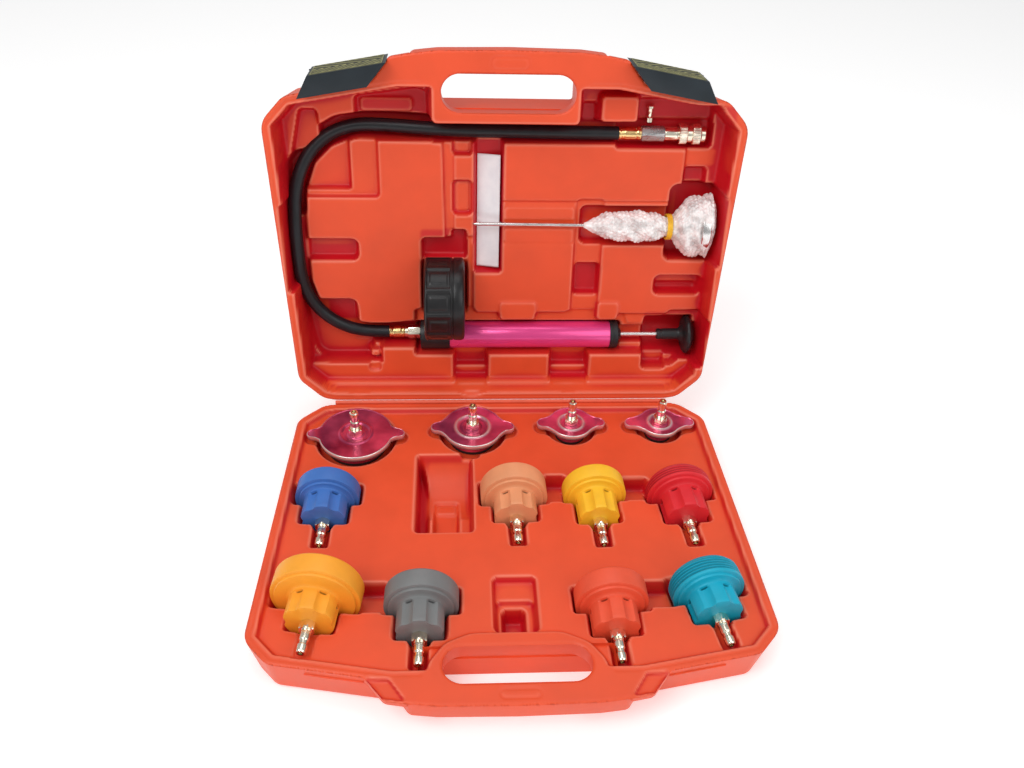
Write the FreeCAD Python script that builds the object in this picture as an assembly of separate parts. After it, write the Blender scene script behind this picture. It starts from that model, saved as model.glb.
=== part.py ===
"""Radiator pressure tester kit in an open blow-moulded case: pump with gauge and hose, thermometer, four
metal radiator caps and eight plastic adapters.

Millimetres. The origin is the middle of the case's underside, +Z is up and the front of the case faces -Y.
Every piece is drawn with the case shut, as (x, v, h): x to the right, v forward from the hinge axis and h up
from the parting plane. in_base() and in_lid() then put it in its place, in_lid() with the lid swung open.
"""
import FreeCAD
import Part
import math
import os

V = FreeCAD.Vector

# ---- case ----
CASE_LENGTH = 337.0          # hinge axis to the front of the grip
BASE_DEPTH = 40.0
LID_DEPTH = 58.0
LID_OPENING = 100.0          # degrees the lid stands open
WALL = 2.0                   # moulded skin, both halves
BASE_DRAFT = 6.0             # how far the base walls lean in over their height
LID_DRAFT = 6.0
REAR_SETBACK = 1.8           # rims behind the hinge axis
RIM_WIDTH = 9.0
HINGE_HALF = 165.0
REAR_CORNER_X, REAR_CORNER_V = 177.0, 4.3
REAR_SIDE_X, REAR_SIDE_V = 199.0, 25.5
FRONT_SIDE_X, FRONT_SIDE_V = 210.0, 275.4
FRONT_CORNER_X, FRONT_CORNER_V = 189.4, 297.5
EAR_X, EAR_V = 115.5, 310.7
GRIP_X, GRIP_V = 95.1, 314.3
GRIP_TIP_X, GRIP_TIP_V = 81.5, 333.6
EAR_TIP_X, EAR_TIP_V = 99.9, 330.3
GRIP_THICK = 17.0
EAR_THICK = 7.0
HAND_HOLE_LENGTH = 115.0
HAND_HOLE_WIDTH = 32.4
HAND_HOLE_V = 301.4
GRIP_HOLLOW_V = 292.0        # the grip's hollow opens into the body from here
VENT_RADIUS = 1.25
BASE_VENT = (44.5, 171.4)
LID_VENT = (29.9, 140.8)

# ---- tray levels, below the parting plane ----
BASE_DECK = 5.0
BASE_FLOOR = 35.5            # the deepest pockets of the base
TRAY_DRAFT = 3.0
LID_REAR_DECK = 20.0
LID_DECK = 28.0
LID_DECK_START = 80.0        # v where the lid's deeper deck begins
NIPPLE_POCKET_DEPTH = 36.0
SIDE_GAP = 1.5               # between a stored piece and its pocket's sides
MOUTH_GAP = 1.0              # between an adapter's big end and its pocket
REST_GAP = 0.3               # between a stored piece and what it lies on
CUT_ABOVE = 1.0              # cutters start this far past the parting plane

# ---- hinge and latches ----
HINGE_BEAD = 1.4
HINGE_TAB = 2.6
LATCH_GAP = 0.8
LATCH_REACH = 20.0           # from the case edge out to the latch's face
LATCH_START = 15.0           # from the front corner along the case edge
LATCH_END = 71.5
LATCH_SLANT = 1.136          # sideways lean of the latch's ends
LATCH_LOW = -22.0
LATCH_HIGH = 24.0
LATCH_WALL = 3.0
LATCH_LIP = 2.2
LATCH_PIN_RADIUS = 1.5
LATCH_PIN_OUT = 7.0
LATCH_PIN_H = 16.5
LATCH_PIN_LENGTH = 46.0
LUG_WIDTH = 6.0
LUG_RADIUS = 3.5
CATCH_REACH = 1.6            # ridge on the base that the latch snaps under
CATCH_H = -17.5
CATCH_THICK = 3.0
PIN_CLEARANCE = 0.1

# ---- pump ----
PUMP_V, PUMP_H = 58.2, 34.0
BARREL_X0, BARREL_X1 = -52.0, 107.7
BARREL_RADIUS = 13.5
BARREL_BORE = 12.0
HEAD_X0 = -80.5
HEAD_RADIUS = 14.2
SPIGOT = 6.0
FIT_GAP = 0.05
VALVE_RADIUS = 4.8
VALVE_THICK = 1.5
VALVE_SEAT_DEPTH = 4.0
AIR_RADIUS = 2.0
PORT_V = 61.5
CAP_X1 = 115.5
CAP_RADIUS = 14.0
CAP_HUB_LENGTH = 4.0
ROD_RADIUS = 2.2
ROD_GUIDE_GAP = 0.08
SLEEVE_X0, SLEEVE_X1 = 156.2, 182.5
SLEEVE_RADIUS = 5.5
KNOB_RADIUS = 19.5
KNOB_THICK = 7.0
KNOB_DOME = 3.5
ROD_SOCKET = 14.0
PUMP_TRAVEL = 36.0
PISTON_THICK = 8.0
PISTON_RADIUS = 11.4
SEAL_WIDTH = 3.0
SEAL_INNER = 9.0
SEAL_GAP = 0.06

# ---- gauge ----
GAUGE_V, GAUGE_H = 109.3, 7.0
BOOT_X0, BOOT_X1 = -75.0, -37.3
BOOT_RADIUS = 39.0
BOOT_LIP = 5.0
BOOT_OPENING = 28.5
GAUGE_RADIUS = 31.5
GAUGE_X0 = -66.5
GAUGE_WALL = 1.5
GAUGE_FIT = 0.3
DIAL_RADIUS = 29.4
DIAL_THICK = 0.8
DIAL_X = -53.0
LENS_THICK = 1.5
NEEDLE_LENGTH = 22.0
NEEDLE_TAIL = 7.0
NEEDLE_WIDTH = 1.6
NEEDLE_SWEEP = 270.0
STEM_X = -61.0
STEM_RADIUS = 5.0
STEM_END = 9.0               # of the gauge stem, from the pump axis
BOSS_RADIUS = 8.5

# ---- hose and coupler ----
HOSE_RADIUS = 6.0
HOSE_H = 34.0
FERRULE_RADIUS = 6.0
PUMP_FERRULE_X0, PUMP_FERRULE_X1 = -111.5, -96.5
NUT_X0, NUT_X1 = -96.5, -80.5
NUT_FLATS = 12.0
COUPLER_V = 260.8
COUPLER_X0, COUPLER_X1 = 101.0, 121.5
BODY_HEX_X1 = 143.0
BODY_HEX_FLATS = 14.0
BODY_RADIUS = 6.2
BODY_X1 = 180.0
BODY_COLLAR = 4.5
BODY_COLLAR_RADIUS = 7.2
SLEEVE_RING_X0, SLEEVE_RING_X1 = 155.5, 175.3
SLEEVE_RING_RADIUS = 9.2
SLEEVE_WAIST_RADIUS = 7.6
SLEEVE_WAIST = 1.6
SLEEVE_FIT = 0.1
SOCKET_RADIUS = 4.35
SOCKET_DEPTH = 26.0
VALVE_WALL = 2.0             # the shut valve at the socket's end
# route of the hose, chosen by eye along its trench: x, v, h
HOSE_ROUTE = [
    (-111.5, 61.5, 34.0), (-137.5, 61.5, 34.0), (-162.5, 71.9, 32.4), (-181.4, 91.2, 29.4),
    (-191.2, 116.5, 26.0), (-192.4, 147.0, 24.0), (-192.8, 178.0, 25.6), (-191.5, 208.5, 32.6),
    (-181.0, 234.8, 40.6), (-161.5, 254.2, 43.8), (-136.0, 264.4, 42.0), (-107.0, 265.2, 37.8),
    (-72.0, 263.2, 34.6), (-31.0, 261.6, 34.0), (13.0, 261.5, 34.0), (57.0, 260.8, 34.0),
    (101.0, 260.8, 34.0),
]

# ---- thermometer, leaflet and spare valve ----
THERMO_X, THERMO_V, THERMO_H = -30.0, 177.3, 25.7
THERMO_YAW = 0.6
THERMO_STEM = 200.0
THERMO_STEM_RADIUS = 1.95
THERMO_BOSS_RADIUS = 5.0
THERMO_BOSS = 12.0
THERMO_DIAL_X = 212.0        # from the tip
THERMO_DIAL_RADIUS = 20.5
THERMO_DIAL_THICK = 9.0
WRAP_GAP = 0.3
WRAP_WIDER = 1.17            # the wrapped bulb is this much wider than thick
WRAP_PROFILE = [(104, 3.2), (113, 8.5), (126, 14.0), (150, 15.2), (172, 14.0), (180, 10.6), (187.5, 10.6)]
BULB_PROFILE = [(187.5, 10.6), (193, 17.0), (200, 21.5), (207, 22.3), (222.6, 22.3), (226.0, 16.0)]
BAND_X, BAND_WIDTH, BAND_THICK = 181.5, 5.0, 1.4
LEAFLET_X, LEAFLET_V, LEAFLET_H = -25.5, 130.0, 40.0
LEAFLET_WIDTH, LEAFLET_LENGTH, LEAFLET_THICK = 22.0, 110.0, 1.6
LEAFLET_TILT = 14.0
SPARE_X, SPARE_V = 129.0, 277.0

# ---- adapters: name, x, v of the big end's front face, yaw, big radius and length, neck radius and length,
# thread outside ----
ADAPTERS = [
    ("blue", -161.4, 128.6, 2.0, 28.4, 18.0, 19.9, 22.6, False),
    ("tan", 6.0, 131.5, -1.5, 30.0, 21.0, 19.4, 20.5, False),
    ("yellow", 79.5, 128.9, -2.0, 28.6, 18.0, 18.5, 26.0, False),
    ("red", 157.4, 130.2, -4.0, 30.2, 17.0, 19.9, 25.5, True),
    ("orange", -159.0, 242.6, 6.5, 36.5, 20.0, 20.3, 21.0, False),
    ("grey", -74.7, 248.2, 1.0, 30.2, 19.0, 19.6, 24.0, False),
    ("vermilion", 79.6, 249.4, -1.0, 30.0, 19.0, 19.4, 23.2, False),
    ("teal", 161.4, 239.7, -8.5, 30.5, 20.0, 20.5, 21.0, True),
]
ADAPTER_WALL = 4.0
ADAPTER_END_WALL = 4.5
ADAPTER_AIR_RADIUS = 1.8
FLANGE = 5.0
THREAD_DEPTH = 1.6
THREAD_PITCH = 3.0
LOBES = 6
LOBE_RADIUS = 9.0
LOBE_DEPTH = 1.3
NECK_BORE = 12.0
NIPPLE_LENGTH = 27.0
NIPPLE_HEX = 7.0
NIPPLE_HEX_FLATS = 12.0
NIPPLE_RADIUS = 4.2
NIPPLE_NECK_RADIUS = 3.4
NIPPLE_BORE = 2.0
NIPPLE_THREAD = 3.0
NIPPLE_THREAD_RADIUS = 4.0

# ---- radiator caps: name, x, v, disc radius, ear tip, ear radius ----
CAPS = [
    ("cap_large", -141.5, 46.5, 35.0, 46.5, 5.5),
    ("cap_medium", -30.0, 38.5, 29.0, 40.5, 6.0),
    ("cap_small", 66.0, 33.5, 21.5, 33.5, 6.0),
    ("cap_small_deep", 153.5, 33.5, 20.0, 34.5, 6.0),
]
CAP_TOP = 1.5                # plate top above the parting plane
CAP_PLATE = 1.6
CAP_SKIRT = 4.0
CAP_SKIRT_WALL = 1.6
CAP_RING_SHARE = 0.58        # raised ring radius, of the disc radius
CAP_RING_HEIGHT = 1.2
CAP_RING_WIDTH = 2.4
CAP_NECK_STEP = 7.0
CAP_NECK_WALL = 2.0
CAP_NECK = 12.0
CAP_SEAL = 3.0
CAP_HOLE = 4.1
CAP_POCKET_GAP = 2.0
EAR_POCKET_DEPTH = 8.0

RADIUS_CHECK = 5.0           # hose bends stay wider than this many diameters


def point(x, v, h):
    return V(x, -v, h)


def box(x0, x1, v0, v1, h0, h1):
    return Part.makeBox(x1 - x0, v1 - v0, h1 - h0, point(x0, v1, h0))


def rod_x(x0, x1, v, h, radius):
    return Part.makeCylinder(radius, x1 - x0, point(x0, v, h), V(1, 0, 0))


def rod_v(x, v0, v1, h, radius):
    return Part.makeCylinder(radius, v1 - v0, point(x, v0, h), V(0, -1, 0))


def rod_h(x, v, h0, h1, radius):
    return Part.makeCylinder(radius, h1 - h0, point(x, v, h0), V(0, 0, 1))


def tube_x(x0, x1, v, h, outer, inner):
    return rod_x(x0, x1, v, h, outer).cut(rod_x(x0 - 1, x1 + 1, v, h, inner))


def hexagon_x(x0, x1, v, h, flats):
    radius = flats / math.sqrt(3)
    corners = [point(x0, v + radius * math.cos(math.radians(60 * i)),
                     h + radius * math.sin(math.radians(60 * i))) for i in range(7)]
    return Part.Face(Part.makePolygon(corners)).extrude(V(x1 - x0, 0, 0))


def revolve_x(profile, v, h):
    """Solid of (x, radius) corners turned about the X line at v, h."""
    corners = [V(profile[0][0], 0, 0)] + [V(x, 0, r) for x, r in profile] + [V(profile[-1][0], 0, 0)]
    face = Part.Face(Part.makePolygon(corners + corners[:1]))
    solid = face.revolve(V(0, 0, 0), V(1, 0, 0), 360)
    return solid.translated(point(0, v, h))


def prism(corners, h0, h1):
    points = [point(x, v, h0) for x, v in corners]
    return Part.Face(Part.makePolygon(points + points[:1])).extrude(V(0, 0, h1 - h0))


def joined(shapes):
    return shapes[0].multiFuse(shapes[1:]) if len(shapes) > 1 else shapes[0]


def mirrored_x(corners):
    """A left-to-right closed outline from its right half, front to rear."""
    return corners + [(-x, v) for x, v in reversed(corners)]


def inset(corners, distance):
    """Move every side of a clockwise-seen convex outline inward."""
    count = len(corners)
    middle = (sum(x for x, v in corners) / count, sum(v for x, v in corners) / count)
    lines = []
    for i in range(count):
        (x0, v0), (x1, v1) = corners[i], corners[(i + 1) % count]
        size = math.hypot(x1 - x0, v1 - v0)
        nx, nv = (v1 - v0) / size, -(x1 - x0) / size
        if nx * (middle[0] - x0) + nv * (middle[1] - v0) < 0:
            nx, nv = -nx, -nv
        lines.append((nx, nv, nx * x0 + nv * v0 + distance))
    result = []
    for i in range(count):
        a, b, c = lines[i - 1]
        d, e, f = lines[i]
        det = a * e - b * d
        result.append(((c * e - b * f) / det, (a * f - c * d) / det))
    return result


def drafted(outline, first, h0, last, h1):
    """Loft between two insets of one outline."""
    wires = []
    for amount, h in ((first, h0), (last, h1)):
        points = [point(x, v, h) for x, v in inset(outline, amount)]
        wires.append(Part.makePolygon(points + points[:1]))
    return Part.makeLoft(wires, True, True)


BODY_OUTLINE = mirrored_x([
    (GRIP_X, GRIP_V), (EAR_X, EAR_V), (FRONT_CORNER_X, FRONT_CORNER_V), (FRONT_SIDE_X, FRONT_SIDE_V),
    (REAR_SIDE_X, REAR_SIDE_V), (REAR_CORNER_X, REAR_CORNER_V), (HINGE_HALF, REAR_SETBACK)])
GRIP_OUTLINE = mirrored_x([
    (0.0, CASE_LENGTH), (GRIP_TIP_X * 0.75, CASE_LENGTH - 1.2), (GRIP_TIP_X, GRIP_TIP_V), (GRIP_X, GRIP_V),
    (GRIP_X - 2.0, GRIP_HOLLOW_V)])[1:]
EAR_OUTLINE = [(EAR_X, EAR_V), (EAR_TIP_X, EAR_TIP_V), (GRIP_TIP_X, GRIP_TIP_V), (GRIP_X, GRIP_V),
               (GRIP_X, GRIP_V - 6.0)]


def hand_hole(grow, h0, h1):
    radius = HAND_HOLE_WIDTH / 2 + grow
    reach = (HAND_HOLE_LENGTH - HAND_HOLE_WIDTH) / 2
    return joined([
        box(-reach, reach, HAND_HOLE_V - radius, HAND_HOLE_V + radius, h0, h1),
        rod_h(-reach, HAND_HOLE_V, h0, h1, radius),
        rod_h(reach, HAND_HOLE_V, h0, h1, radius)])


def case_half(depth, draft, cavities, vent):
    """One hollow double-walled half, its parting plane at h 0 and its depth towards +h."""
    body = drafted(BODY_OUTLINE, 0, 0, draft, depth)
    ears = [prism([(side * x, v) for x, v in EAR_OUTLINE], 0, EAR_THICK) for side in (-1, 1)]
    finger_room = box(-GRIP_X + 19, GRIP_X - 19, HAND_HOLE_V - HAND_HOLE_WIDTH / 2, CASE_LENGTH,
                      GRIP_THICK, depth + 1)
    outside = body.cut(finger_room)
    outside = outside.fuse(joined([prism(GRIP_OUTLINE, 0, GRIP_THICK)] + ears))
    hollow = drafted(BODY_OUTLINE, WALL, WALL, WALL + draft * (1 - WALL / depth), depth - WALL)
    hollow = hollow.cut(box(-GRIP_X + 19 - WALL, GRIP_X - 19 + WALL, HAND_HOLE_V - HAND_HOLE_WIDTH / 2 - WALL,
                            CASE_LENGTH, GRIP_THICK - WALL, depth + 1))
    grip_hollow = prism(inset(GRIP_OUTLINE, WALL), WALL, GRIP_THICK - WALL)
    hollow = hollow.fuse(grip_hollow).cut(hand_hole(WALL, -1, depth + 1))
    hollow = hollow.cut(joined(cavities(WALL)))
    half = outside.cut(hand_hole(0, -1, depth + 1)).cut(joined(cavities(0)))
    half = half.cut(hollow)
    vent_x, vent_v = vent
    return half.cut(rod_h(vent_x, vent_v, 0, depth - 1.5 * WALL, VENT_RADIUS))


def sunk_box(x0, x1, v0, v1, floor, grow):
    return box(x0 - grow, x1 + grow, v0 - grow, v1 + grow, -CUT_ABOVE, floor + grow)


def tray(depth, grow):
    """The recess inside the rim, kept off the hand hole."""
    recess = drafted(BODY_OUTLINE, RIM_WIDTH - grow, -CUT_ABOVE, RIM_WIDTH + TRAY_DRAFT - grow, depth + grow)
    return recess.cut(hand_hole(RIM_WIDTH - grow, -2, depth + 5))


def turned(shape, x, v, yaw):
    """Swing a shape about the upright line through x, v; its front end goes to -x."""
    return shape.rotated(point(x, v, 0), V(0, 0, 1), -yaw)


def adapter_axis(radius):
    """Height of an adapter's axis as it lies on its pocket's floor."""
    return -BASE_FLOOR + REST_GAP + radius


def adapter_pocket(spec, grow):
    name, x, v, yaw, radius, length, neck, neck_length, outside_thread = spec
    floor = BASE_FLOOR + grow
    wide = radius + SIDE_GAP + grow
    neck_wide = neck + SIDE_GAP + grow
    axis = -adapter_axis(radius)
    cuts = [rod_v(x, v - length - MOUTH_GAP - grow, v + SIDE_GAP + grow, floor - wide, wide),
            rod_v(x, v - grow, v + neck_length + SIDE_GAP + grow, axis, neck_wide)]
    if floor - wide > -CUT_ABOVE:
        cuts.append(box(x - wide, x + wide, v - length - MOUTH_GAP - grow, v + SIDE_GAP + grow,
                        -CUT_ABOVE - grow, floor - wide))
    if axis > -CUT_ABOVE:
        cuts.append(box(x - neck_wide, x + neck_wide, v - grow, v + neck_length + SIDE_GAP + grow,
                        -CUT_ABOVE - grow, axis))
    slot = NIPPLE_RADIUS + SIDE_GAP + 1.0 + grow
    cuts.append(box(x - slot, x + slot, v + neck_length, v + neck_length + NIPPLE_LENGTH + SIDE_GAP + grow,
                    -CUT_ABOVE - grow, axis + slot + 1.5))
    hex_slot = NIPPLE_HEX_FLATS / 2 + SIDE_GAP + 1.0 + grow
    cuts.append(box(x - hex_slot, x + hex_slot, v + neck_length, v + neck_length + NIPPLE_HEX + 1 + grow,
                    -CUT_ABOVE - grow, axis + hex_slot))
    return turned(joined(cuts), x, v, yaw)


def cap_plan(x, v, radius, tip, ear_radius, grow, h0, h1):
    """Disc with two round-ended ears along X."""
    parts = [rod_h(x, v, h0, h1, radius + grow)]
    reach = tip - ear_radius
    for side in (-1, 1):
        slant = math.radians(38)
        wide = radius + grow
        ear = ear_radius + grow
        parts.append(rod_h(x + side * reach, v, h0, h1, ear))
        parts.append(prism([(x, v - ear), (x + side * wide * math.cos(slant), v - wide * math.sin(slant)),
                            (x + side * reach, v - ear), (x + side * reach, v + ear),
                            (x + side * wide * math.cos(slant), v + wide * math.sin(slant)), (x, v + ear)],
                           h0, h1))
    return joined(parts)


def cap_pocket(spec, grow):
    name, x, v, radius, tip, ear_radius = spec
    gap = CAP_POCKET_GAP + grow
    floor = -(CAP_TOP - CAP_PLATE - CAP_NECK - CAP_SEAL) + REST_GAP
    return [cap_plan(x, v, radius, tip, ear_radius, gap, -CUT_ABOVE - grow, EAR_POCKET_DEPTH + grow),
            rod_h(x, v, -CUT_ABOVE, floor + grow, radius + gap - 1.0)]


def base_cavities(grow):
    cuts = [tray(BASE_DECK, grow)]
    for spec in CAPS:
        cuts += cap_pocket(spec, grow)
    cuts += [adapter_pocket(spec, grow) for spec in ADAPTERS]
    # finger channels that join neighbouring pockets
    cuts.append(sunk_box(38, 52, 101, 129, 20, grow))
    cuts.append(sunk_box(108, 128, 105, 128, 20, grow))
    cuts.append(sunk_box(-124, -104, 222, 246, 20, grow))
    cuts.append(sunk_box(110, 132, 225, 246, 20, grow))
    # pocket that the gauge drops into when the lid is shut, with a round floor
    pocket_radius = BOOT_RADIUS + SIDE_GAP
    cuts.append(rod_x(BOOT_X0 - 6 - grow, BOOT_X1 + 4.5 + grow, GAUGE_V, -GAUGE_H, pocket_radius + grow))
    cuts.append(sunk_box(BOOT_X0 - 6, BOOT_X1 + 4.5, GAUGE_V, 165, 24, grow))
    # small pocket with a deeper slot
    cuts.append(sunk_box(-15.5, 16.5, 217, 268, 16, grow))
    cuts.append(sunk_box(-8.5, 8.5, 241.5, 266, BASE_FLOOR, grow))
    return cuts


def lid_cavities(grow):
    cuts = [tray(LID_REAR_DECK, grow)]
    # deeper deck in front of the pump
    deck = drafted(BODY_OUTLINE, RIM_WIDTH + TRAY_DRAFT - grow, -CUT_ABOVE,
                   RIM_WIDTH + TRAY_DRAFT + 1 - grow, LID_DECK + grow)
    deck = deck.common(box(-220, 220, LID_DECK_START - grow, CASE_LENGTH, -2, LID_DECK + grow))
    cuts.append(deck.cut(hand_hole(RIM_WIDTH + TRAY_DRAFT - grow, -2, LID_DECK + 5)))
    # pump trench: barrel, head, rod and knob
    cuts.append(rod_x(BARREL_X0 - 1 - grow, CAP_X1 + 2 + grow, PUMP_V, PUMP_H, CAP_RADIUS + REST_GAP + grow))
    cuts.append(sunk_box(BARREL_X0 - 1, CAP_X1 + 2, PUMP_V - CAP_RADIUS - REST_GAP, LID_DECK_START + 1,
                         PUMP_H, grow))
    cuts.append(rod_x(HEAD_X0 - 2 - grow, BARREL_X0 + 1 + grow, PUMP_V, PUMP_H, HEAD_RADIUS + REST_GAP + grow))
    cuts.append(sunk_box(HEAD_X0 - 2, BARREL_X0 + 1, PUMP_V - HEAD_RADIUS - REST_GAP, LID_DECK_START + 1,
                         PUMP_H, grow))
    cuts.append(sunk_box(CAP_X1, SLEEVE_X1 + 1, PUMP_V - 7.5, PUMP_V + 7.5, PUMP_H + 8, grow))
    knob_room = KNOB_RADIUS + REST_GAP
    cuts.append(rod_x(SLEEVE_X1 - PUMP_TRAVEL - 2 - grow, 197.5 + grow, PUMP_V, PUMP_H, knob_room + grow))
    cuts.append(sunk_box(SLEEVE_X1 - PUMP_TRAVEL - 2, 197.5, PUMP_V - knob_room, PUMP_V + knob_room,
                         PUMP_H, grow))
    # gauge trench
    cuts.append(rod_x(BOOT_X0 - 2 - grow, BOOT_X1 + 2 + grow, GAUGE_V, GAUGE_H, BOOT_RADIUS + REST_GAP + grow))
    cuts.append(sunk_box(BOOT_X0 - 1, BOOT_X1 + 1, 142, 167, 40, grow))
    cuts.append(sunk_box(STEM_X - BOSS_RADIUS - 1, STEM_X + BOSS_RADIUS + 1, 60, 90, 42, grow))
    # hose fittings, hose corners, hose runs and coupler
    cuts.append(sunk_box(PUMP_FERRULE_X0 - 2, HEAD_X0, 51, 80, 42, grow))
    lower_corner = [(-113, 51), (-113, 74), (-146, 77), (-163, 90), (-180, 112), (-182, 135), (-200, 135),
                    (-197, 95), (-182, 70), (-150, 52)]
    cuts.append(prism(grown(lower_corner, grow), -CUT_ABOVE, 41 + grow))
    left_run = [(-182, 128), (-183, 200), (-199.3, 200), (-199.3, 128)]
    cuts.append(prism(grown(left_run, grow), -CUT_ABOVE, 34 + grow))
    upper_corner = [(-199.3, 180), (-183, 180), (-172, 222), (-150, 245), (-66, 255), (-66, 273),
                    (-150, 273), (-180, 258), (-197, 228)]
    cuts.append(prism(grown(upper_corner, grow), -CUT_ABOVE, 50.2 + grow))
    cuts.append(sunk_box(-114, COUPLER_X0 + 1, COUPLER_V - 7.5, 271.5, HOSE_H + HOSE_RADIUS + 1, grow))
    cuts.append(sunk_box(COUPLER_X0 - 1, 186, COUPLER_V - 11, COUPLER_V + 11,
                         HOSE_H + SLEEVE_RING_RADIUS + REST_GAP, grow))
    # room for what the base holds
    for spec in CAPS:
        x, v = spec[1:3]
        cuts.append(sunk_box(x - 13, x + 13, 15.5, v + 11, NIPPLE_POCKET_DEPTH, grow))
        cuts.append(rod_h(x, v, -CUT_ABOVE - grow, CAP_TOP + 1.5 + grow, spec[3] + SIDE_GAP + grow))
    orange = ADAPTERS[4]
    cuts.append(sunk_box(orange[1] - 33, orange[1] + 33, orange[2] - 29, orange[2] + 5, 41, grow))
    # thermometer bulb and body, leaflet slot, finger rooms
    cuts.append(sunk_box(155, 198, 142, 213, THERMO_H + BULB_PROFILE[-2][1] + REST_GAP, grow))
    cuts.append(sunk_box(72, 157, 157, 192, THERMO_H + 15.2 + REST_GAP, grow))
    cuts.append(sunk_box(-28, -2.5, 127, 243, LEAFLET_H + REST_GAP, grow))
    cuts.append(sunk_box(118, 184, 270, 291, 41, grow))
    cuts.append(sunk_box(-131, -71, 276, 291, 40, grow))
    cuts.append(sunk_box(69, 91, 104, 134, 40, grow))
    cuts.append(sunk_box(148, 192, 104, 122, 40, grow))
    cuts.append(sunk_box(-185, -138, 141, 158, 40, grow))
    return cuts


def grown(corners, grow):
    return inset(corners, -grow) if grow else corners


def in_base(shape):
    return shape.translated(V(0, CASE_LENGTH / 2, BASE_DEPTH))


def in_lid(shape):
    return in_base(shape.rotated(V(0, 0, 0), V(1, 0, 0), -LID_OPENING))


def write(name, shape):
    """One STEP file per piece; loose solids of one node stay a group."""
    shape = shape.removeSplitter()
    solids = shape.Solids
    for solid in solids:
        if not solid.isValid() or solid.Volume <= 0:
            print("BAD SOLID in", name)
    result = solids[0] if len(solids) == 1 else Part.makeCompound(solids)
    result.exportStep(os.path.join("parts", name + ".step"))
    print("%-28s solids %d volume %9.1f" % (name, len(solids), result.Volume))


# ---- case, hinge and latches ----

def make_case():
    base = case_half(BASE_DEPTH, BASE_DRAFT, base_cavities, BASE_VENT).mirror(V(0, 0, 0), V(0, 0, 1))
    write("case_base", in_base(base.fuse([catch(side) for side in (-1, 1)])))
    lid = case_half(LID_DEPTH, LID_DRAFT, lid_cavities, LID_VENT)
    lid = lid.fuse([lugs(side) for side in (-1, 1)])
    write("case_lid", in_lid(lid))
    bead = rod_x(-HINGE_HALF, HINGE_HALF, 0, 0, HINGE_BEAD)
    tab = box(-HINGE_HALF, HINGE_HALF, 0, REAR_SETBACK, -HINGE_TAB - 0.4, -0.4)
    tab = tab.cut(drafted(BODY_OUTLINE, 0, 0, BASE_DRAFT, -BASE_DEPTH))
    write("living_hinge", in_base(bead.fuse(tab)))


def edge_point(side, along, out, h):
    """A point from the front corner along the case edge and out from it."""
    run = math.hypot(FRONT_CORNER_X - EAR_X, EAR_V - FRONT_CORNER_V)
    ex, ev = (FRONT_CORNER_X - EAR_X) / run, (EAR_V - FRONT_CORNER_V) / run
    x = FRONT_CORNER_X - along * ex + out * ev
    v = FRONT_CORNER_V + along * ev + out * ex
    return point(side * x, v, h)


def edge_prism(side, corners, h0, h1):
    points = [edge_point(side, along, out, h0) for along, out in corners]
    return Part.Face(Part.makePolygon(points + points[:1])).extrude(V(0, 0, h1 - h0))


def edge_rod(side, start, end, out, h, radius):
    a = edge_point(side, start, out, h)
    b = edge_point(side, end, out, h)
    return Part.makeCylinder(radius, (b - a).Length, a, b - a)


PIN_START = (LATCH_START + LATCH_END - LATCH_PIN_LENGTH) / 2 + 8.0
PIN_END = PIN_START + LATCH_PIN_LENGTH


def lugs(side):
    """Two ears on the lid's front wall that hold the latch pin."""
    parts = []
    for start in (PIN_START + LUG_WIDTH, PIN_END - 2 * LUG_WIDTH):
        end = start + LUG_WIDTH
        arm = edge_prism(side, [(start, -3.5), (end, -3.5), (end, LATCH_PIN_OUT), (start, LATCH_PIN_OUT)],
                         LATCH_PIN_H - LUG_RADIUS, LATCH_PIN_H + LUG_RADIUS)
        eye = edge_rod(side, start, end, LATCH_PIN_OUT, LATCH_PIN_H, LUG_RADIUS)
        parts.append(arm.fuse(eye).cut(edge_rod(side, start - 1, end + 1, LATCH_PIN_OUT, LATCH_PIN_H,
                                                LATCH_PIN_RADIUS)))
    return joined(parts)


def catch(side):
    wall = BASE_DRAFT * CATCH_H / BASE_DEPTH
    inner, outer = wall - WALL / 2, wall + CATCH_REACH
    return edge_prism(side, [(PIN_START, inner), (PIN_END, inner), (PIN_END, outer), (PIN_START, outer)],
                      CATCH_H, CATCH_H + CATCH_THICK)


def latch_plan(low, high):
    """Corners of the slanted latch between two distances out from the case edge."""
    return [(LATCH_START + LATCH_SLANT * 0.66 * low, low), (LATCH_END + LATCH_SLANT * low, low),
            (LATCH_END + LATCH_SLANT * high, high), (LATCH_START + LATCH_SLANT * 0.66 * high, high)]


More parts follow.
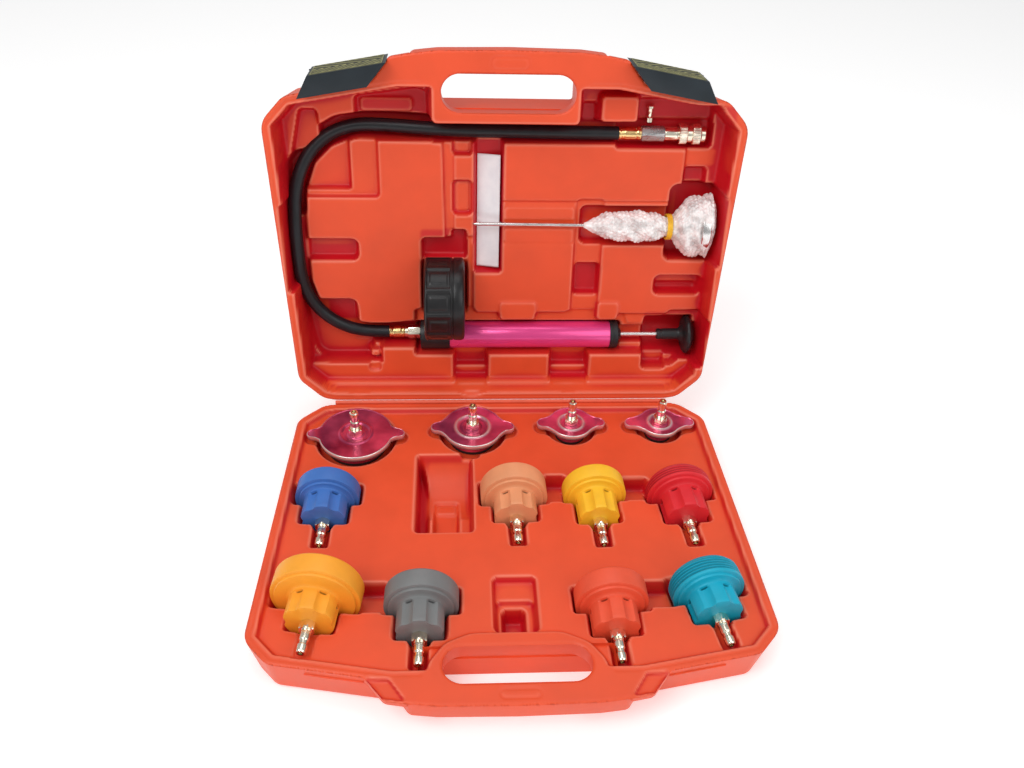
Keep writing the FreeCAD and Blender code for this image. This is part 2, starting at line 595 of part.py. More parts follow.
def latch(side):
    face_out = LATCH_GAP + LATCH_REACH
    plan = latch_plan(LATCH_GAP, face_out)
    outer = edge_prism(side, plan, LATCH_LOW, LATCH_HIGH)
    inner = latch_plan(LATCH_GAP - 2, face_out - LATCH_WALL)
    inner = [(inner[0][0] + LATCH_WALL, inner[0][1]), (inner[1][0] - LATCH_WALL, inner[1][1]),
             (inner[2][0] - LATCH_WALL, inner[2][1]), (inner[3][0] + LATCH_WALL, inner[3][1])]
    shell = outer.cut(edge_prism(side, inner, LATCH_LOW + LATCH_WALL, LATCH_HIGH - LATCH_WALL))
    lip_low = LATCH_LOW
    lip = edge_prism(side, latch_plan(-LATCH_LIP, LATCH_GAP + 1), lip_low, lip_low + LATCH_WALL)
    # what would strike the lugs and the case as the latch swings is cut away
    reach = LATCH_PIN_OUT + 2.4
    relief = edge_prism(side, [(0, -5), (120, -5), (120, reach), (0, reach)], LATCH_PIN_H - 1, LATCH_HIGH + 1)
    shell = shell.fuse(lip).cut(relief)
    knuckles = []
    for start in (PIN_START, PIN_END - LUG_WIDTH):
        knuckle = edge_rod(side, start + 0.3, start + LUG_WIDTH - 0.3, LATCH_PIN_OUT, LATCH_PIN_H, LUG_RADIUS)
        web = edge_prism(side, [(start + 0.3, LATCH_PIN_OUT), (start + LUG_WIDTH - 0.3, LATCH_PIN_OUT),
                                (start + LUG_WIDTH - 0.3, face_out - 1), (start + 0.3, face_out - 1)],
                         LATCH_PIN_H - 2.0, LATCH_PIN_H + 2.0)
        knuckles.append(knuckle.fuse(web))
    bore = edge_rod(side, PIN_START - 5, PIN_END + 5, LATCH_PIN_OUT, LATCH_PIN_H,
                    LATCH_PIN_RADIUS + PIN_CLEARANCE)
    return shell.fuse(knuckles).cut(bore)


def make_latches():
    pins = []
    for name, side in (("latch_left", -1), ("latch_right", 1)):
        write(name, in_lid(latch(side)))
        pins.append(edge_rod(side, PIN_START, PIN_END, LATCH_PIN_OUT, LATCH_PIN_H, LATCH_PIN_RADIUS))
    write("latch_pins", in_lid(Part.makeCompound(pins)))


# ---- pump ----

def make_pump():
    v, h = PUMP_V, PUMP_H
    write("pump_barrel", in_lid(tube_x(BARREL_X0, BARREL_X1, v, h, BARREL_RADIUS, BARREL_BORE)))

    head = rod_x(HEAD_X0, BARREL_X0, v, h, HEAD_RADIUS)
    head = head.fuse(rod_x(BARREL_X0, BARREL_X0 + SPIGOT, v, h, BARREL_BORE - FIT_GAP))
    head = head.fuse(stem_rod(0, GAUGE_DISTANCE - BOOT_RADIUS - REST_GAP, BOSS_RADIUS))
    head = head.cut(stem_rod(STEM_END - 0.5, GAUGE_DISTANCE, STEM_RADIUS + FIT_GAP))
    head = head.cut(rod_x(HEAD_X0 - 1, BARREL_X0 + SPIGOT + 1, v, h, AIR_RADIUS))
    seat = BARREL_X0 + SPIGOT - VALVE_SEAT_DEPTH
    head = head.cut(rod_x(seat, seat + VALVE_SEAT_DEPTH + 1, v, h, VALVE_RADIUS + 0.2))
    write("pump_head", in_lid(head))
    write("check_valve", in_lid(rod_x(seat, seat + VALVE_THICK, v, h, VALVE_RADIUS)))

    hub = CAP_X1 + CAP_HUB_LENGTH
    cap = revolve_x([(BARREL_X1 - SPIGOT, BARREL_BORE - FIT_GAP), (BARREL_X1, BARREL_BORE - FIT_GAP),
                     (BARREL_X1, CAP_RADIUS), (CAP_X1, CAP_RADIUS), (CAP_X1, 8.5), (hub, 5.0)], v, h)
    cap = cap.cut(rod_x(0, hub + 1, v, h, ROD_RADIUS + ROD_GUIDE_GAP))
    write("barrel_cap", in_lid(cap))

    piston_x0 = BARREL_X0 + SPIGOT + PUMP_TRAVEL + 1.0
    piston_x1 = piston_x0 + PISTON_THICK
    seal_x0 = (piston_x0 + piston_x1 - SEAL_WIDTH) / 2
    seal_x1 = seal_x0 + SEAL_WIDTH
    piston = rod_x(piston_x0, piston_x1, v, h, PISTON_RADIUS)
    write("piston", in_lid(piston.cut(tube_x(seal_x0, seal_x1, v, h, BARREL_BORE, SEAL_INNER))))
    write("piston_seal", in_lid(tube_x(seal_x0, seal_x1, v, h, BARREL_BORE - SEAL_GAP, SEAL_INNER)))
    write("piston_rod", in_lid(rod_x(piston_x1, SLEEVE_X0 + ROD_SOCKET, v, h, ROD_RADIUS)))

    disc_x0 = SLEEVE_X1
    knob = revolve_x([(SLEEVE_X0, SLEEVE_RADIUS - 1), (SLEEVE_X0 + 1, SLEEVE_RADIUS),
                      (disc_x0 - 3, SLEEVE_RADIUS), (disc_x0, SLEEVE_RADIUS + 5),
                      (disc_x0 + 0.5, KNOB_RADIUS - 2.5), (disc_x0 + 2.5, KNOB_RADIUS),
                      (disc_x0 + KNOB_THICK - 2.5, KNOB_RADIUS), (disc_x0 + KNOB_THICK, KNOB_RADIUS - 3.5),
                      (disc_x0 + KNOB_THICK + KNOB_DOME, 9.0)], v, h)
    knob = knob.cut(rod_x(SLEEVE_X0 - 1, SLEEVE_X0 + ROD_SOCKET, v, h, ROD_RADIUS + FIT_GAP))
    write("pump_knob", in_lid(knob))


# ---- gauge ----

GAUGE_DISTANCE = math.hypot(GAUGE_V - PUMP_V, GAUGE_H - PUMP_H)


def stem_rod(start, end, radius):
    """A rod along the gauge stem, measured from the pump axis towards the gauge."""
    direction = V(0, -(GAUGE_V - PUMP_V), GAUGE_H - PUMP_H).normalize()
    origin = point(STEM_X, PUMP_V, PUMP_H)
    return Part.makeCylinder(radius, end - start, origin + direction * start, direction)


def make_gauge():
    v, h = GAUGE_V, GAUGE_H
    case_x1 = BOOT_X1 - BOOT_LIP
    boot = rod_x(BOOT_X0, BOOT_X1, v, h, BOOT_RADIUS)
    boot = boot.cut(rod_x(GAUGE_X0 - GAUGE_FIT, case_x1 + GAUGE_FIT, v, h, GAUGE_RADIUS + GAUGE_FIT))
    boot = boot.cut(rod_x(case_x1, BOOT_X1 + 1, v, h, BOOT_OPENING))
    stem_start = GAUGE_DISTANCE - GAUGE_RADIUS
    boot = boot.cut(stem_rod(0, stem_start + 2, STEM_RADIUS + GAUGE_FIT))
    write("gauge_boot", in_lid(boot))

    case = rod_x(GAUGE_X0, case_x1, v, h, GAUGE_RADIUS).fuse(stem_rod(STEM_END, stem_start + 3, STEM_RADIUS))
    case = case.cut(rod_x(GAUGE_X0 + GAUGE_WALL, case_x1 + 1, v, h, GAUGE_RADIUS - GAUGE_WALL))
    case = case.fuse(tube_x(DIAL_X - 2, DIAL_X, v, h, GAUGE_RADIUS - GAUGE_WALL / 2, DIAL_RADIUS - 2))
    case = case.cut(stem_rod(STEM_END - 1, stem_start + 8, AIR_RADIUS))
    write("gauge_case", in_lid(case))
    dial = tube_x(DIAL_X, DIAL_X + DIAL_THICK, v, h, DIAL_RADIUS, 1.6)
    write("gauge_dial", in_lid(dial))
    lens_x = case_x1 - LENS_THICK
    write("gauge_lens", in_lid(rod_x(lens_x, case_x1, v, h, GAUGE_RADIUS - GAUGE_WALL - 0.1)))
    arm_x = DIAL_X + DIAL_THICK + 1.2
    needle = box(0, 1.0, -NEEDLE_LENGTH, NEEDLE_TAIL, -NEEDLE_WIDTH / 2, NEEDLE_WIDTH / 2)
    dial_up = math.degrees(math.atan2(GAUGE_H - PUMP_H, PUMP_V - GAUGE_V))
    needle = needle.rotated(V(0, 0, 0), V(1, 0, 0), dial_up + NEEDLE_SWEEP / 2).translated(point(arm_x, v, h))
    needle = needle.fuse(rod_x(arm_x, arm_x + 1.6, v, h, 3.0)).fuse(rod_x(DIAL_X - 6, arm_x, v, h, 1.3))
    write("gauge_needle", in_lid(needle))


# ---- hose and coupler ----

def hose_path():
    """Straight runs joined by tangent arcs, as large as the runs allow."""
    points = [point(*p) for p in HOSE_ROUTE]
    edges = []
    last = points[0]
    smallest = 1e9
    for before, corner, after in zip(points, points[1:], points[2:]):
        a = (before - corner)
        b = (after - corner)
        turn = math.pi - a.getAngle(b)
        reach = 0.45 * min(a.Length, b.Length)
        radius = reach / math.tan(turn / 2)
        smallest = min(smallest, radius)
        start = corner + a.normalize() * reach
        end = corner + b.normalize() * reach
        toward = (a + b).normalize()
        middle = corner + toward * (radius / math.cos(turn / 2) - radius)
        edges.append(Part.LineSegment(last, start).toShape())
        edges.append(Part.Arc(start, middle, end).toShape())
        last = end
    edges.append(Part.LineSegment(last, points[-1]).toShape())
    print("hose: smallest bend radius %.1f, wanted over %.1f" % (smallest, RADIUS_CHECK * 2 * HOSE_RADIUS))
    return Part.Wire(edges)


def make_hose():
    path = hose_path()
    start = path.Edges[0]
    ring = Part.Wire(Part.makeCircle(HOSE_RADIUS, start.valueAt(start.FirstParameter),
                                     start.tangentAt(start.FirstParameter)))
    tube = path.makePipeShell([ring], True, False)
    expected = math.pi * HOSE_RADIUS ** 2 * path.Length
    print("hose: length %.1f, volume %.1f, section x length %.1f" % (path.Length, tube.Volume, expected))
    write("hose", in_lid(tube))

    ferrule = rod_x(PUMP_FERRULE_X0, PUMP_FERRULE_X1, PORT_V, HOSE_H, FERRULE_RADIUS)
    write("pump_ferrule", in_lid(ferrule.cut(rod_x(-130, 0, PORT_V, HOSE_H, AIR_RADIUS))))
    nut = hexagon_x(NUT_X0, NUT_X1, PORT_V, HOSE_H, NUT_FLATS)
    write("swivel_nut", in_lid(nut.cut(rod_x(-130, 0, PORT_V, HOSE_H, AIR_RADIUS))))


def make_coupler():
    v, h = COUPLER_V, HOSE_H
    passage = rod_x(0, BODY_X1 - SOCKET_DEPTH - VALVE_WALL, v, h, AIR_RADIUS)
    write("coupler_ferrule", in_lid(rod_x(COUPLER_X0, COUPLER_X1, v, h, FERRULE_RADIUS).cut(passage)))
    body = hexagon_x(COUPLER_X1, BODY_HEX_X1, v, h, BODY_HEX_FLATS)
    body = body.fuse([rod_x(BODY_HEX_X1, BODY_X1, v, h, BODY_RADIUS),
                      rod_x(BODY_X1 - BODY_COLLAR, BODY_X1, v, h, BODY_COLLAR_RADIUS)])
    body = body.cut(passage).cut(rod_x(BODY_X1 - SOCKET_DEPTH, BODY_X1 + 1, v, h, SOCKET_RADIUS))
    write("coupler_body", in_lid(body))
    sleeve = tube_x(SLEEVE_RING_X0, SLEEVE_RING_X1, v, h, SLEEVE_RING_RADIUS, BODY_RADIUS + SLEEVE_FIT)
    middle = (SLEEVE_RING_X0 + SLEEVE_RING_X1) / 2
    waist = tube_x(middle - SLEEVE_WAIST, middle + SLEEVE_WAIST, v, h, SLEEVE_RING_RADIUS + 1,
                   SLEEVE_WAIST_RADIUS)
    write("coupler_sleeve", in_lid(sleeve.cut(waist)))


# ---- thermometer, leaflet and spare valve ----

def on_thermometer(shape):
    """From the thermometer's own frame, tip at the origin and stem along X."""
    shape = shape.rotated(V(0, 0, 0), V(0, 0, 1), THERMO_YAW)
    return in_lid(shape.translated(point(THERMO_X, THERMO_V, THERMO_H)))


def make_thermometer():
    boss_x0 = THERMO_DIAL_X - THERMO_BOSS
    write("thermometer_stem", on_thermometer(rod_x(0, boss_x0, 0, 0, THERMO_STEM_RADIUS)))
    head = rod_x(boss_x0, THERMO_DIAL_X, 0, 0, THERMO_BOSS_RADIUS)
    head = head.fuse(rod_x(THERMO_DIAL_X, THERMO_DIAL_X + THERMO_DIAL_THICK, 0, 0, THERMO_DIAL_RADIUS))
    write("thermometer_head", on_thermometer(head))

    bulb = revolve_x(BULB_PROFILE, 0, 0)
    stretch = FreeCAD.Matrix()
    stretch.A22 = WRAP_WIDER
    bulb = bulb.transformGeometry(stretch)
    wrap = revolve_x(WRAP_PROFILE, 0, 0).fuse(bulb)
    gap = WRAP_GAP
    room = joined([
        rod_x(0, boss_x0 + 1, 0, 0, THERMO_STEM_RADIUS + gap),
        rod_x(boss_x0 - gap, THERMO_DIAL_X + 1, 0, 0, THERMO_BOSS_RADIUS + gap),
        rod_x(THERMO_DIAL_X - gap, THERMO_DIAL_X + THERMO_DIAL_THICK + gap, 0, 0, THERMO_DIAL_RADIUS + gap)])
    write("bubble_wrap", on_thermometer(wrap.cut(room)))
    waist = WRAP_PROFILE[-1][1] + REST_GAP
    write("rubber_band", on_thermometer(tube_x(BAND_X, BAND_X + BAND_WIDTH, 0, 0, waist + BAND_THICK, waist)))


def make_leaflet():
    sheet = box(0, LEAFLET_WIDTH, 0, LEAFLET_LENGTH, -LEAFLET_THICK, 0)
    sheet = sheet.rotated(V(0, 0, 0), V(0, 1, 0), LEAFLET_TILT)
    write("leaflet", in_lid(sheet.translated(point(LEAFLET_X, LEAFLET_V, LEAFLET_H))))


def make_spare_valve():
    floor = 41.0 - REST_GAP
    barrel = rod_v(SPARE_X, SPARE_V - 7, SPARE_V + 5, floor - 3.2, 3.2)
    wing = box(SPARE_X - 5.5, SPARE_X + 5.5, SPARE_V + 5, SPARE_V + 8, floor - 5.0, floor - 1.4)
    write("spare_valve", in_lid(barrel.fuse(wing)))


# ---- adapters and radiator caps ----

def nipple(origin_x):
    """Hex, groove and quick-connect nose along +X, with a short thread behind the hex."""
    tube = origin_x + NIPPLE_HEX
    end = origin_x + NIPPLE_LENGTH
    body = revolve_x([(tube, NIPPLE_RADIUS), (tube + 8.5, NIPPLE_RADIUS), (tube + 9.5, NIPPLE_NECK_RADIUS),
                      (tube + 12.5, NIPPLE_NECK_RADIUS), (tube + 13.5, NIPPLE_RADIUS),
                      (end - 3.5, NIPPLE_RADIUS), (end - 1.0, NIPPLE_RADIUS - 0.3), (end, 3.3)], 0, 0)
    body = body.fuse([hexagon_x(origin_x, tube, 0, 0, NIPPLE_HEX_FLATS),
                      rod_x(origin_x - NIPPLE_THREAD, origin_x, 0, 0, NIPPLE_THREAD_RADIUS)])
    return body.cut(rod_x(origin_x - NIPPLE_THREAD - 1, end + 1, 0, 0, NIPPLE_BORE))


def adapter_body(radius, length, neck, neck_length, outside_thread):
    """Along +X with the front face of the big end at 0."""
    big = radius - THREAD_DEPTH if outside_thread else radius
    profile = [(-length, big - 1.5), (-length + 1.5, big)]
    if outside_thread:
        x = -length + 2.5
        while x + THREAD_PITCH < -FLANGE:
            profile += [(x, big), (x + 0.8, radius - 0.2), (x + 1.4, radius - 0.2), (x + 2.2, big)]
            x += THREAD_PITCH
        profile += [(-FLANGE, big), (-FLANGE, radius)]
    profile += [(-2.5, radius), (-2.5, radius - 1.4), (0, radius - 1.4), (0, neck + 1.6), (1.6, neck),
                (neck_length - 4, neck), (neck_length, neck - 2.0)]
    body = revolve_x(profile, 0, 0)
    flutes = []
    for i in range(LOBES):
        angle = math.radians(60 * i + 30)
        out = neck + LOBE_RADIUS - LOBE_DEPTH
        flutes.append(rod_x(3.5, neck_length + 1, -out * math.cos(angle), out * math.sin(angle), LOBE_RADIUS))
    body = body.cut(joined(flutes))
    bore = big - ADAPTER_WALL
    body = body.cut(rod_x(-length - 1, -ADAPTER_END_WALL, 0, 0, bore))
    body = body.cut(rod_x(-length, neck_length - ADAPTER_END_WALL, 0, 0, NECK_BORE))
    body = body.cut(rod_x(0, neck_length, 0, 0, ADAPTER_AIR_RADIUS))
    return body.cut(rod_x(neck_length - NIPPLE_THREAD - REST_GAP, neck_length + 1, 0, 0,
                          NIPPLE_THREAD_RADIUS + FIT_GAP))


def lay_down(shape, spec):
    """Axis to the front, on its pocket's floor."""
    name, x, v, yaw, radius = spec[:5]
    shape = shape.rotated(V(0, 0, 0), V(0, 0, 1), -90)
    shape = shape.translated(point(x, v, adapter_axis(radius)))
    return in_base(turned(shape, x, v, yaw))


def make_adapters():
    for spec in ADAPTERS:
        name, neck_length = spec[0], spec[7]
        write("adapter_" + name, lay_down(adapter_body(*spec[4:]), spec))
        write("nipple_" + name, lay_down(nipple(neck_length), spec))


def cap_shell(spec):
    name, x, v, radius, tip, ear_radius = spec
    bottom = CAP_TOP - CAP_PLATE
    plate = cap_plan(x, v, radius, tip, ear_radius, 0, bottom, CAP_TOP)
    skirt = cap_plan(x, v, radius, tip, ear_radius, 0, CAP_TOP - CAP_SKIRT, bottom)
    skirt = skirt.cut(cap_plan(x, v, radius, tip, ear_radius, -CAP_SKIRT_WALL, CAP_TOP - CAP_SKIRT - 1, bottom))
    neck = radius - CAP_NECK_STEP
    tube = rod_h(x, v, bottom - CAP_NECK, bottom, neck)
    tube = tube.cut(rod_h(x, v, bottom - CAP_NECK - 1, bottom, neck - CAP_NECK_WALL))
    ring = radius * CAP_RING_SHARE
    rings = rod_h(x, v, CAP_TOP, CAP_TOP + CAP_RING_HEIGHT, ring)
    rings = rings.cut(rod_h(x, v, CAP_TOP, CAP_TOP + 2 * CAP_RING_HEIGHT, ring - CAP_RING_WIDTH))
    shell = plate.fuse([skirt, tube, rings])
    return shell.cut(rod_h(x, v, bottom - 1, CAP_TOP + 1, CAP_HOLE))


def make_caps():
    for spec in CAPS:
        name, x, v, radius = spec[:4]
        write(name + "_shell", in_base(cap_shell(spec)))
        stem = nipple(0).rotated(V(0, 0, 0), V(0, 1, 0), -90)
        write(name + "_nipple", in_base(stem.translated(point(x, v, CAP_TOP))))
        neck = radius - CAP_NECK_STEP
        low = CAP_TOP - CAP_PLATE - CAP_NECK
        seal = rod_h(x, v, low - CAP_SEAL, low, neck)
        write(name + "_seal", in_base(seal.cut(rod_h(x, v, low - CAP_SEAL - 1, low + 1, NIPPLE_BORE + 2))))


os.makedirs("parts", exist_ok=True)
make_case()
make_latches()
make_pump()
make_gauge()
make_hose()
make_coupler()
make_thermometer()
make_leaflet()
make_spare_valve()
make_adapters()
make_caps()
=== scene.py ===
import bpy
import bmesh
import math
import numpy as np
from mathutils import Matrix, Vector


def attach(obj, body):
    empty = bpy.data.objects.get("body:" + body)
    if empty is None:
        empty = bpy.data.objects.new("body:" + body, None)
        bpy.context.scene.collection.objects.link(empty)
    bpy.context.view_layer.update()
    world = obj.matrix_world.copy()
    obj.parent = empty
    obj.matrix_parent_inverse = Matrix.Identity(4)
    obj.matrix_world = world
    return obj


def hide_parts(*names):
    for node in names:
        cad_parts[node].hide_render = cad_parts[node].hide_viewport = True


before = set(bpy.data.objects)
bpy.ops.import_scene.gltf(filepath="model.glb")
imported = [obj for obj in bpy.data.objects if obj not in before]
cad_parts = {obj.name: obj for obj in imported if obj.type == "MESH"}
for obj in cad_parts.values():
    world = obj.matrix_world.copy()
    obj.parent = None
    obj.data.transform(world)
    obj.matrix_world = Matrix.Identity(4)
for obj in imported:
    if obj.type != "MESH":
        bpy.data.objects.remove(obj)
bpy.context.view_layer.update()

# Large soft lamps light it evenly, so that colours show as they are written.
def add(name, data):
    """Put a new object with this data into the scene."""
    thing = bpy.data.objects.new(name, data)
    bpy.context.scene.collection.objects.link(thing)
    return thing


def feed(tree, made, **inputs):
    """Set a shader node: its settings have small names, its inputs capital ones with _ for a blank. An input
    takes a value, or a link from another node's output."""
    for name, value in inputs.items():
        if name.islower():
            setattr(made, name, value)
        elif isinstance(value, bpy.types.NodeSocket):
            tree.links.new(value, made.inputs[name.replace("_", " ")])
        else:
            made.inputs[name.replace("_", " ")].default_value = value
    return made


def node(tree, kind, **inputs):
    """A new shader node of a kind, set by feed."""
    return feed(tree, tree.nodes.new("ShaderNode" + kind), **inputs)


yaw, pitch, roll = (math.radians(a) for a in (4.418, 39.918, 2.563))
right, forward, up = (Matrix.Rotation(roll, 3, "Y") @ Matrix.Rotation(pitch, 3, "X")
                      @ Matrix.Rotation(yaw, 3, "Z"))
camera = add("camera", bpy.data.cameras.new("camera"))
camera.data.lens, camera.data.sensor_width = 33.244, 36
axes = Matrix((right, up, -forward)).transposed().to_4x4()
camera.matrix_world = Matrix.Translation((-0.045889, -0.54487, 0.661128)) @ axes
bpy.context.scene.camera = camera
bpy.context.scene.view_settings.view_transform = "Standard"

for name, place, aim, size, power in (("key", (-0.9, -0.9, 1.9), (0, 0.05, 0.1), 1.2, 21),
                                      ("fill", (1.3, -1.1, 1.3), (0, 0.1, 0.15), 1.4, 10),
                                      ("top", (0.1, 0.5, 2.1), (0, 0.05, 0.1), 1.2, 8)):
    lamp = add(name, bpy.data.lights.new(name, "AREA"))
    lamp.data.size, lamp.data.energy, lamp.location = size, power, place
    lamp.rotation_euler = (Vector(aim) - Vector(place)).to_track_quat("-Z", "Y").to_euler()

world = bpy.data.worlds.new("studio")
bpy.context.scene.world = world
world.use_nodes = True
tree = world.node_tree
tree.nodes.clear()
mix = node(tree, "MixShader", Fac=node(tree, "LightPath").outputs["Is Camera Ray"])
tree.links.new(node(tree, "Background", Strength=0.57).outputs[0], mix.inputs[1])
tree.links.new(node(tree, "Background", Color=(1, 1, 1, 1), Strength=1).outputs[0], mix.inputs[2])
node(tree, "OutputWorld", Surface=mix.outputs[0])

bpy.ops.mesh.primitive_plane_add(size=6, location=(0, 0, -0.0004))
floor = bpy.context.object
floor.name = "studio_floor"
floor_paint = bpy.data.materials.new("floor_paint")
floor_paint.use_nodes = True
feed(floor_paint.node_tree, floor_paint.node_tree.nodes["Principled BSDF"], Base_Color=(0.93, 0.93, 0.93, 1),
     Roughness=0.9, Emission_Color=(1, 1, 1, 1), Emission_Strength=0.3)
floor.data.materials.append(floor_paint)

# ---- Case base ----
# The lower half is blow-moulded in one hollow piece of orange-red plastic, with a flat rim.
# Its tray has a shaped pocket for each cap and adapter, drafted and rounded as a mould needs.
HINGE_Y, HINGE_Z = 168.5, 40
BASE_DEPTH, DRAFT, GRIP_THICK, EAR_THICK = 40, 6, 17, 7
RIM_WIDTH, EDGE_RADIUS, FOOT, PARTING_GAP = 9, 1.5, 5, 0.2
BODY_EDGE = [(95.1, 314.3), (115.5, 310.7), (189.4, 297.5), (210, 275.4), (199, 25.5), (177, 4.3), (165, 1.8)]
CASE_OUTLINE = [(0, 337), (60, 336), (81.5, 333.6), (99.9, 330.3)] + BODY_EDGE[1:]
CORNER_SOFT = [3, 4, 2, 2, 2, 6, 9, 7, 7, 5]
HOLE_HALF, HOLE_RADIUS, HOLE_V = 41.3, 16.2, 301.4
TRAY_CELL = 1.16
GAUGE_V = 109.3


def in_base(x, v, h):
    """Tray coordinates (right, forward from the hinge, depth down) to metres in the shared frame."""
    x, v, h = np.broadcast_arrays(x, v, h)
    return np.stack([x, HINGE_Y - v, HINGE_Z - h], axis=-1) / 1000


def mirrored(corners):
    """A closed outline from its right half, written from the front to the back."""
    return corners + [(-x, v) for x, v in reversed(corners) if x != 0]


def rounded_path(corners, radius, steps=6, closed=True):
    """A path whose corners are arcs: each is a quadratic curve between two points set back from it by the
    radius, one for all or one for each."""
    points = []
    count = len(corners)
    radius = np.broadcast_to(radius, count)
    for i in range(count):
        if not closed and i in (0, count - 1):
            points.append(np.array([corners[i]], float))
            continue
        before, here, after = (np.array(corners[(i + k) % count], float) for k in (-1, 0, 1))
        back = min(radius[i], 0.45 * np.linalg.norm(before - here), 0.45 * np.linalg.norm(after - here))
        a = here + (before - here) / np.linalg.norm(before - here) * back
        b = here + (after - here) / np.linalg.norm(after - here) * back
        t = np.linspace(0, 1, steps)[:, None]
        points.append((1 - t) ** 2 * a + 2 * t * (1 - t) * here + t ** 2 * b)
    return np.concatenate(points)


def polygon_field(x, v, corners, soft=0):
    """Distance to the nearest side, negative inside: the sign flips at each side crossed."""
    corners = [tuple(c) for c in (rounded_path(corners, soft, 4) if np.any(soft) else corners)]
    best = np.full(np.shape(x), 1e9)
    inside = np.zeros(np.shape(x), dtype=bool)
    for (ax, av), (bx, bv) in zip(corners, corners[1:] + corners[:1]):
        ex, ev = bx - ax, bv - av
        t = share(((x - ax) * ex + (v - av) * ev) / (ex * ex + ev * ev))
        best = np.minimum(best, (x - ax - t * ex) ** 2 + (v - av - t * ev) ** 2)
        inside ^= ((av > v) != (bv > v)) & (x < ex * (v - av) / (ev if ev else 1e-9) + ax)
    return np.where(inside, -1, 1) * np.sqrt(best)


def box_field(x, v, x0, x1, v0, v1, corner=3):
    """Distance to a box with round corners, negative inside."""
    qx = np.abs(x - (x0 + x1) / 2) - ((x1 - x0) / 2 - corner)
    qv = np.abs(v - (v0 + v1) / 2) - ((v1 - v0) / 2 - corner)
    return np.hypot(np.maximum(qx, 0), np.maximum(qv, 0)) + np.minimum(np.maximum(qx, qv), 0) - corner


def hole_field(x, v):
    """Distance to the oval hand hole, negative inside: a circle swept along a line."""
    return np.hypot(np.maximum(np.abs(x) - HOLE_HALF, 0), v - HOLE_V) - HOLE_RADIUS


def case_field(x, v):
    """Distance to the case's edge with round corners, and to the hand hole's."""
    edge = polygon_field(x, v, mirrored(CASE_OUTLINE), CORNER_SOFT + CORNER_SOFT[:0:-1])
    return np.maximum(edge, -hole_field(x, v))


def share(t):
    """The number kept between nought and one."""
    return np.clip(t, 0, 1)


def sink(h, field, floor_depth, wall):
    """Ease the depth to a floor inside a field, over a wall outside it: the smooth step 3t^2 - 2t^3."""
    t = share(1 - field / wall)
    return h + (floor_depth - h) * (t * t * (3 - 2 * t))


def grid_faces(rows, columns, closed=False):
    """Quads between neighbours of a rows by columns grid, whose last column meets the first where closed."""
    i, j = np.meshgrid(np.arange(rows - 1), np.arange(columns if closed else columns - 1), indexing="ij")
    here, beside = i * columns + j, i * columns + (j + 1) % columns
    return np.stack([here, beside, beside + columns, here + columns], axis=-1).reshape(-1, 4)


def moulded(name, points, faces, material, marks=None):
    """A smooth mesh object from points in metres and faces, with a number at each point for each mark."""
    mesh = bpy.data.meshes.new(name)
    mesh.from_pydata(np.reshape(points, (-1, 3)).tolist(), [], np.asarray(faces, dtype=object).tolist())
    mesh.polygons.foreach_set("use_smooth", np.ones(len(faces), dtype=bool))
    for mark, values in (marks or {}).items():
        stored = mesh.attributes.new(mark, "FLOAT", "POINT")
        stored.data.foreach_set("value", values.astype(np.float32).ravel())
    mesh.materials.append(material)
    return add(name, mesh)


def mend(mesh, flat=0, open_ends=False):
    """Close a mesh's open ends where it has them, merge its doubles, join faces that lie within the flat
    angle in degrees, and turn all faces outwards."""
    bm = bmesh.new()
    bm.from_mesh(mesh)
    if open_ends:
        bmesh.ops.holes_fill(bm, edges=bm.edges)
    bmesh.ops.remove_doubles(bm, verts=bm.verts, dist=1e-6)
    if flat:
        bmesh.ops.dissolve_limit(bm, angle_limit=math.radians(flat), verts=bm.verts, edges=bm.edges)
    bmesh.ops.recalc_face_normals(bm, faces=bm.faces)
    bm.to_mesh(mesh)
    bm.free()
    mesh.polygons.foreach_set("use_smooth", np.ones(len(mesh.polygons), dtype=bool))


def outward(thing, crease=35, open_ends=False):
    """Mend a closed piece, and keep edges over an angle in degrees crisp."""
    mend(thing.data, 0, open_ends)
    thing.data.set_sharp_from_angle(angle=math.radians(crease))
    return thing


def belongs(thing, body, slot, *nodes):
    """Name the body that a piece rides on, and the CAD nodes that it stands for, which are hidden. The slot
    is not used.
    """
    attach(thing, body)
    if nodes:
        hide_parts(*nodes)
    return thing


def spread(h, cell, reach):
    """Depths blurred with a bell curve of a given reach, first along the rows and then along the columns."""
    k = np.arange(-int(3 * reach / cell), int(3 * reach / cell) + 1) * cell
    bell = np.exp(-0.5 * (k / reach) ** 2)
    bell /= bell.sum()
    n = len(k) // 2
    for axis in (0, 1):
        padded = np.pad(h, [(n, n) if a == axis else (0, 0) for a in (0, 1)], mode="edge")
        h = np.apply_along_axis(np.convolve, axis, padded, bell, "valid")
    return h


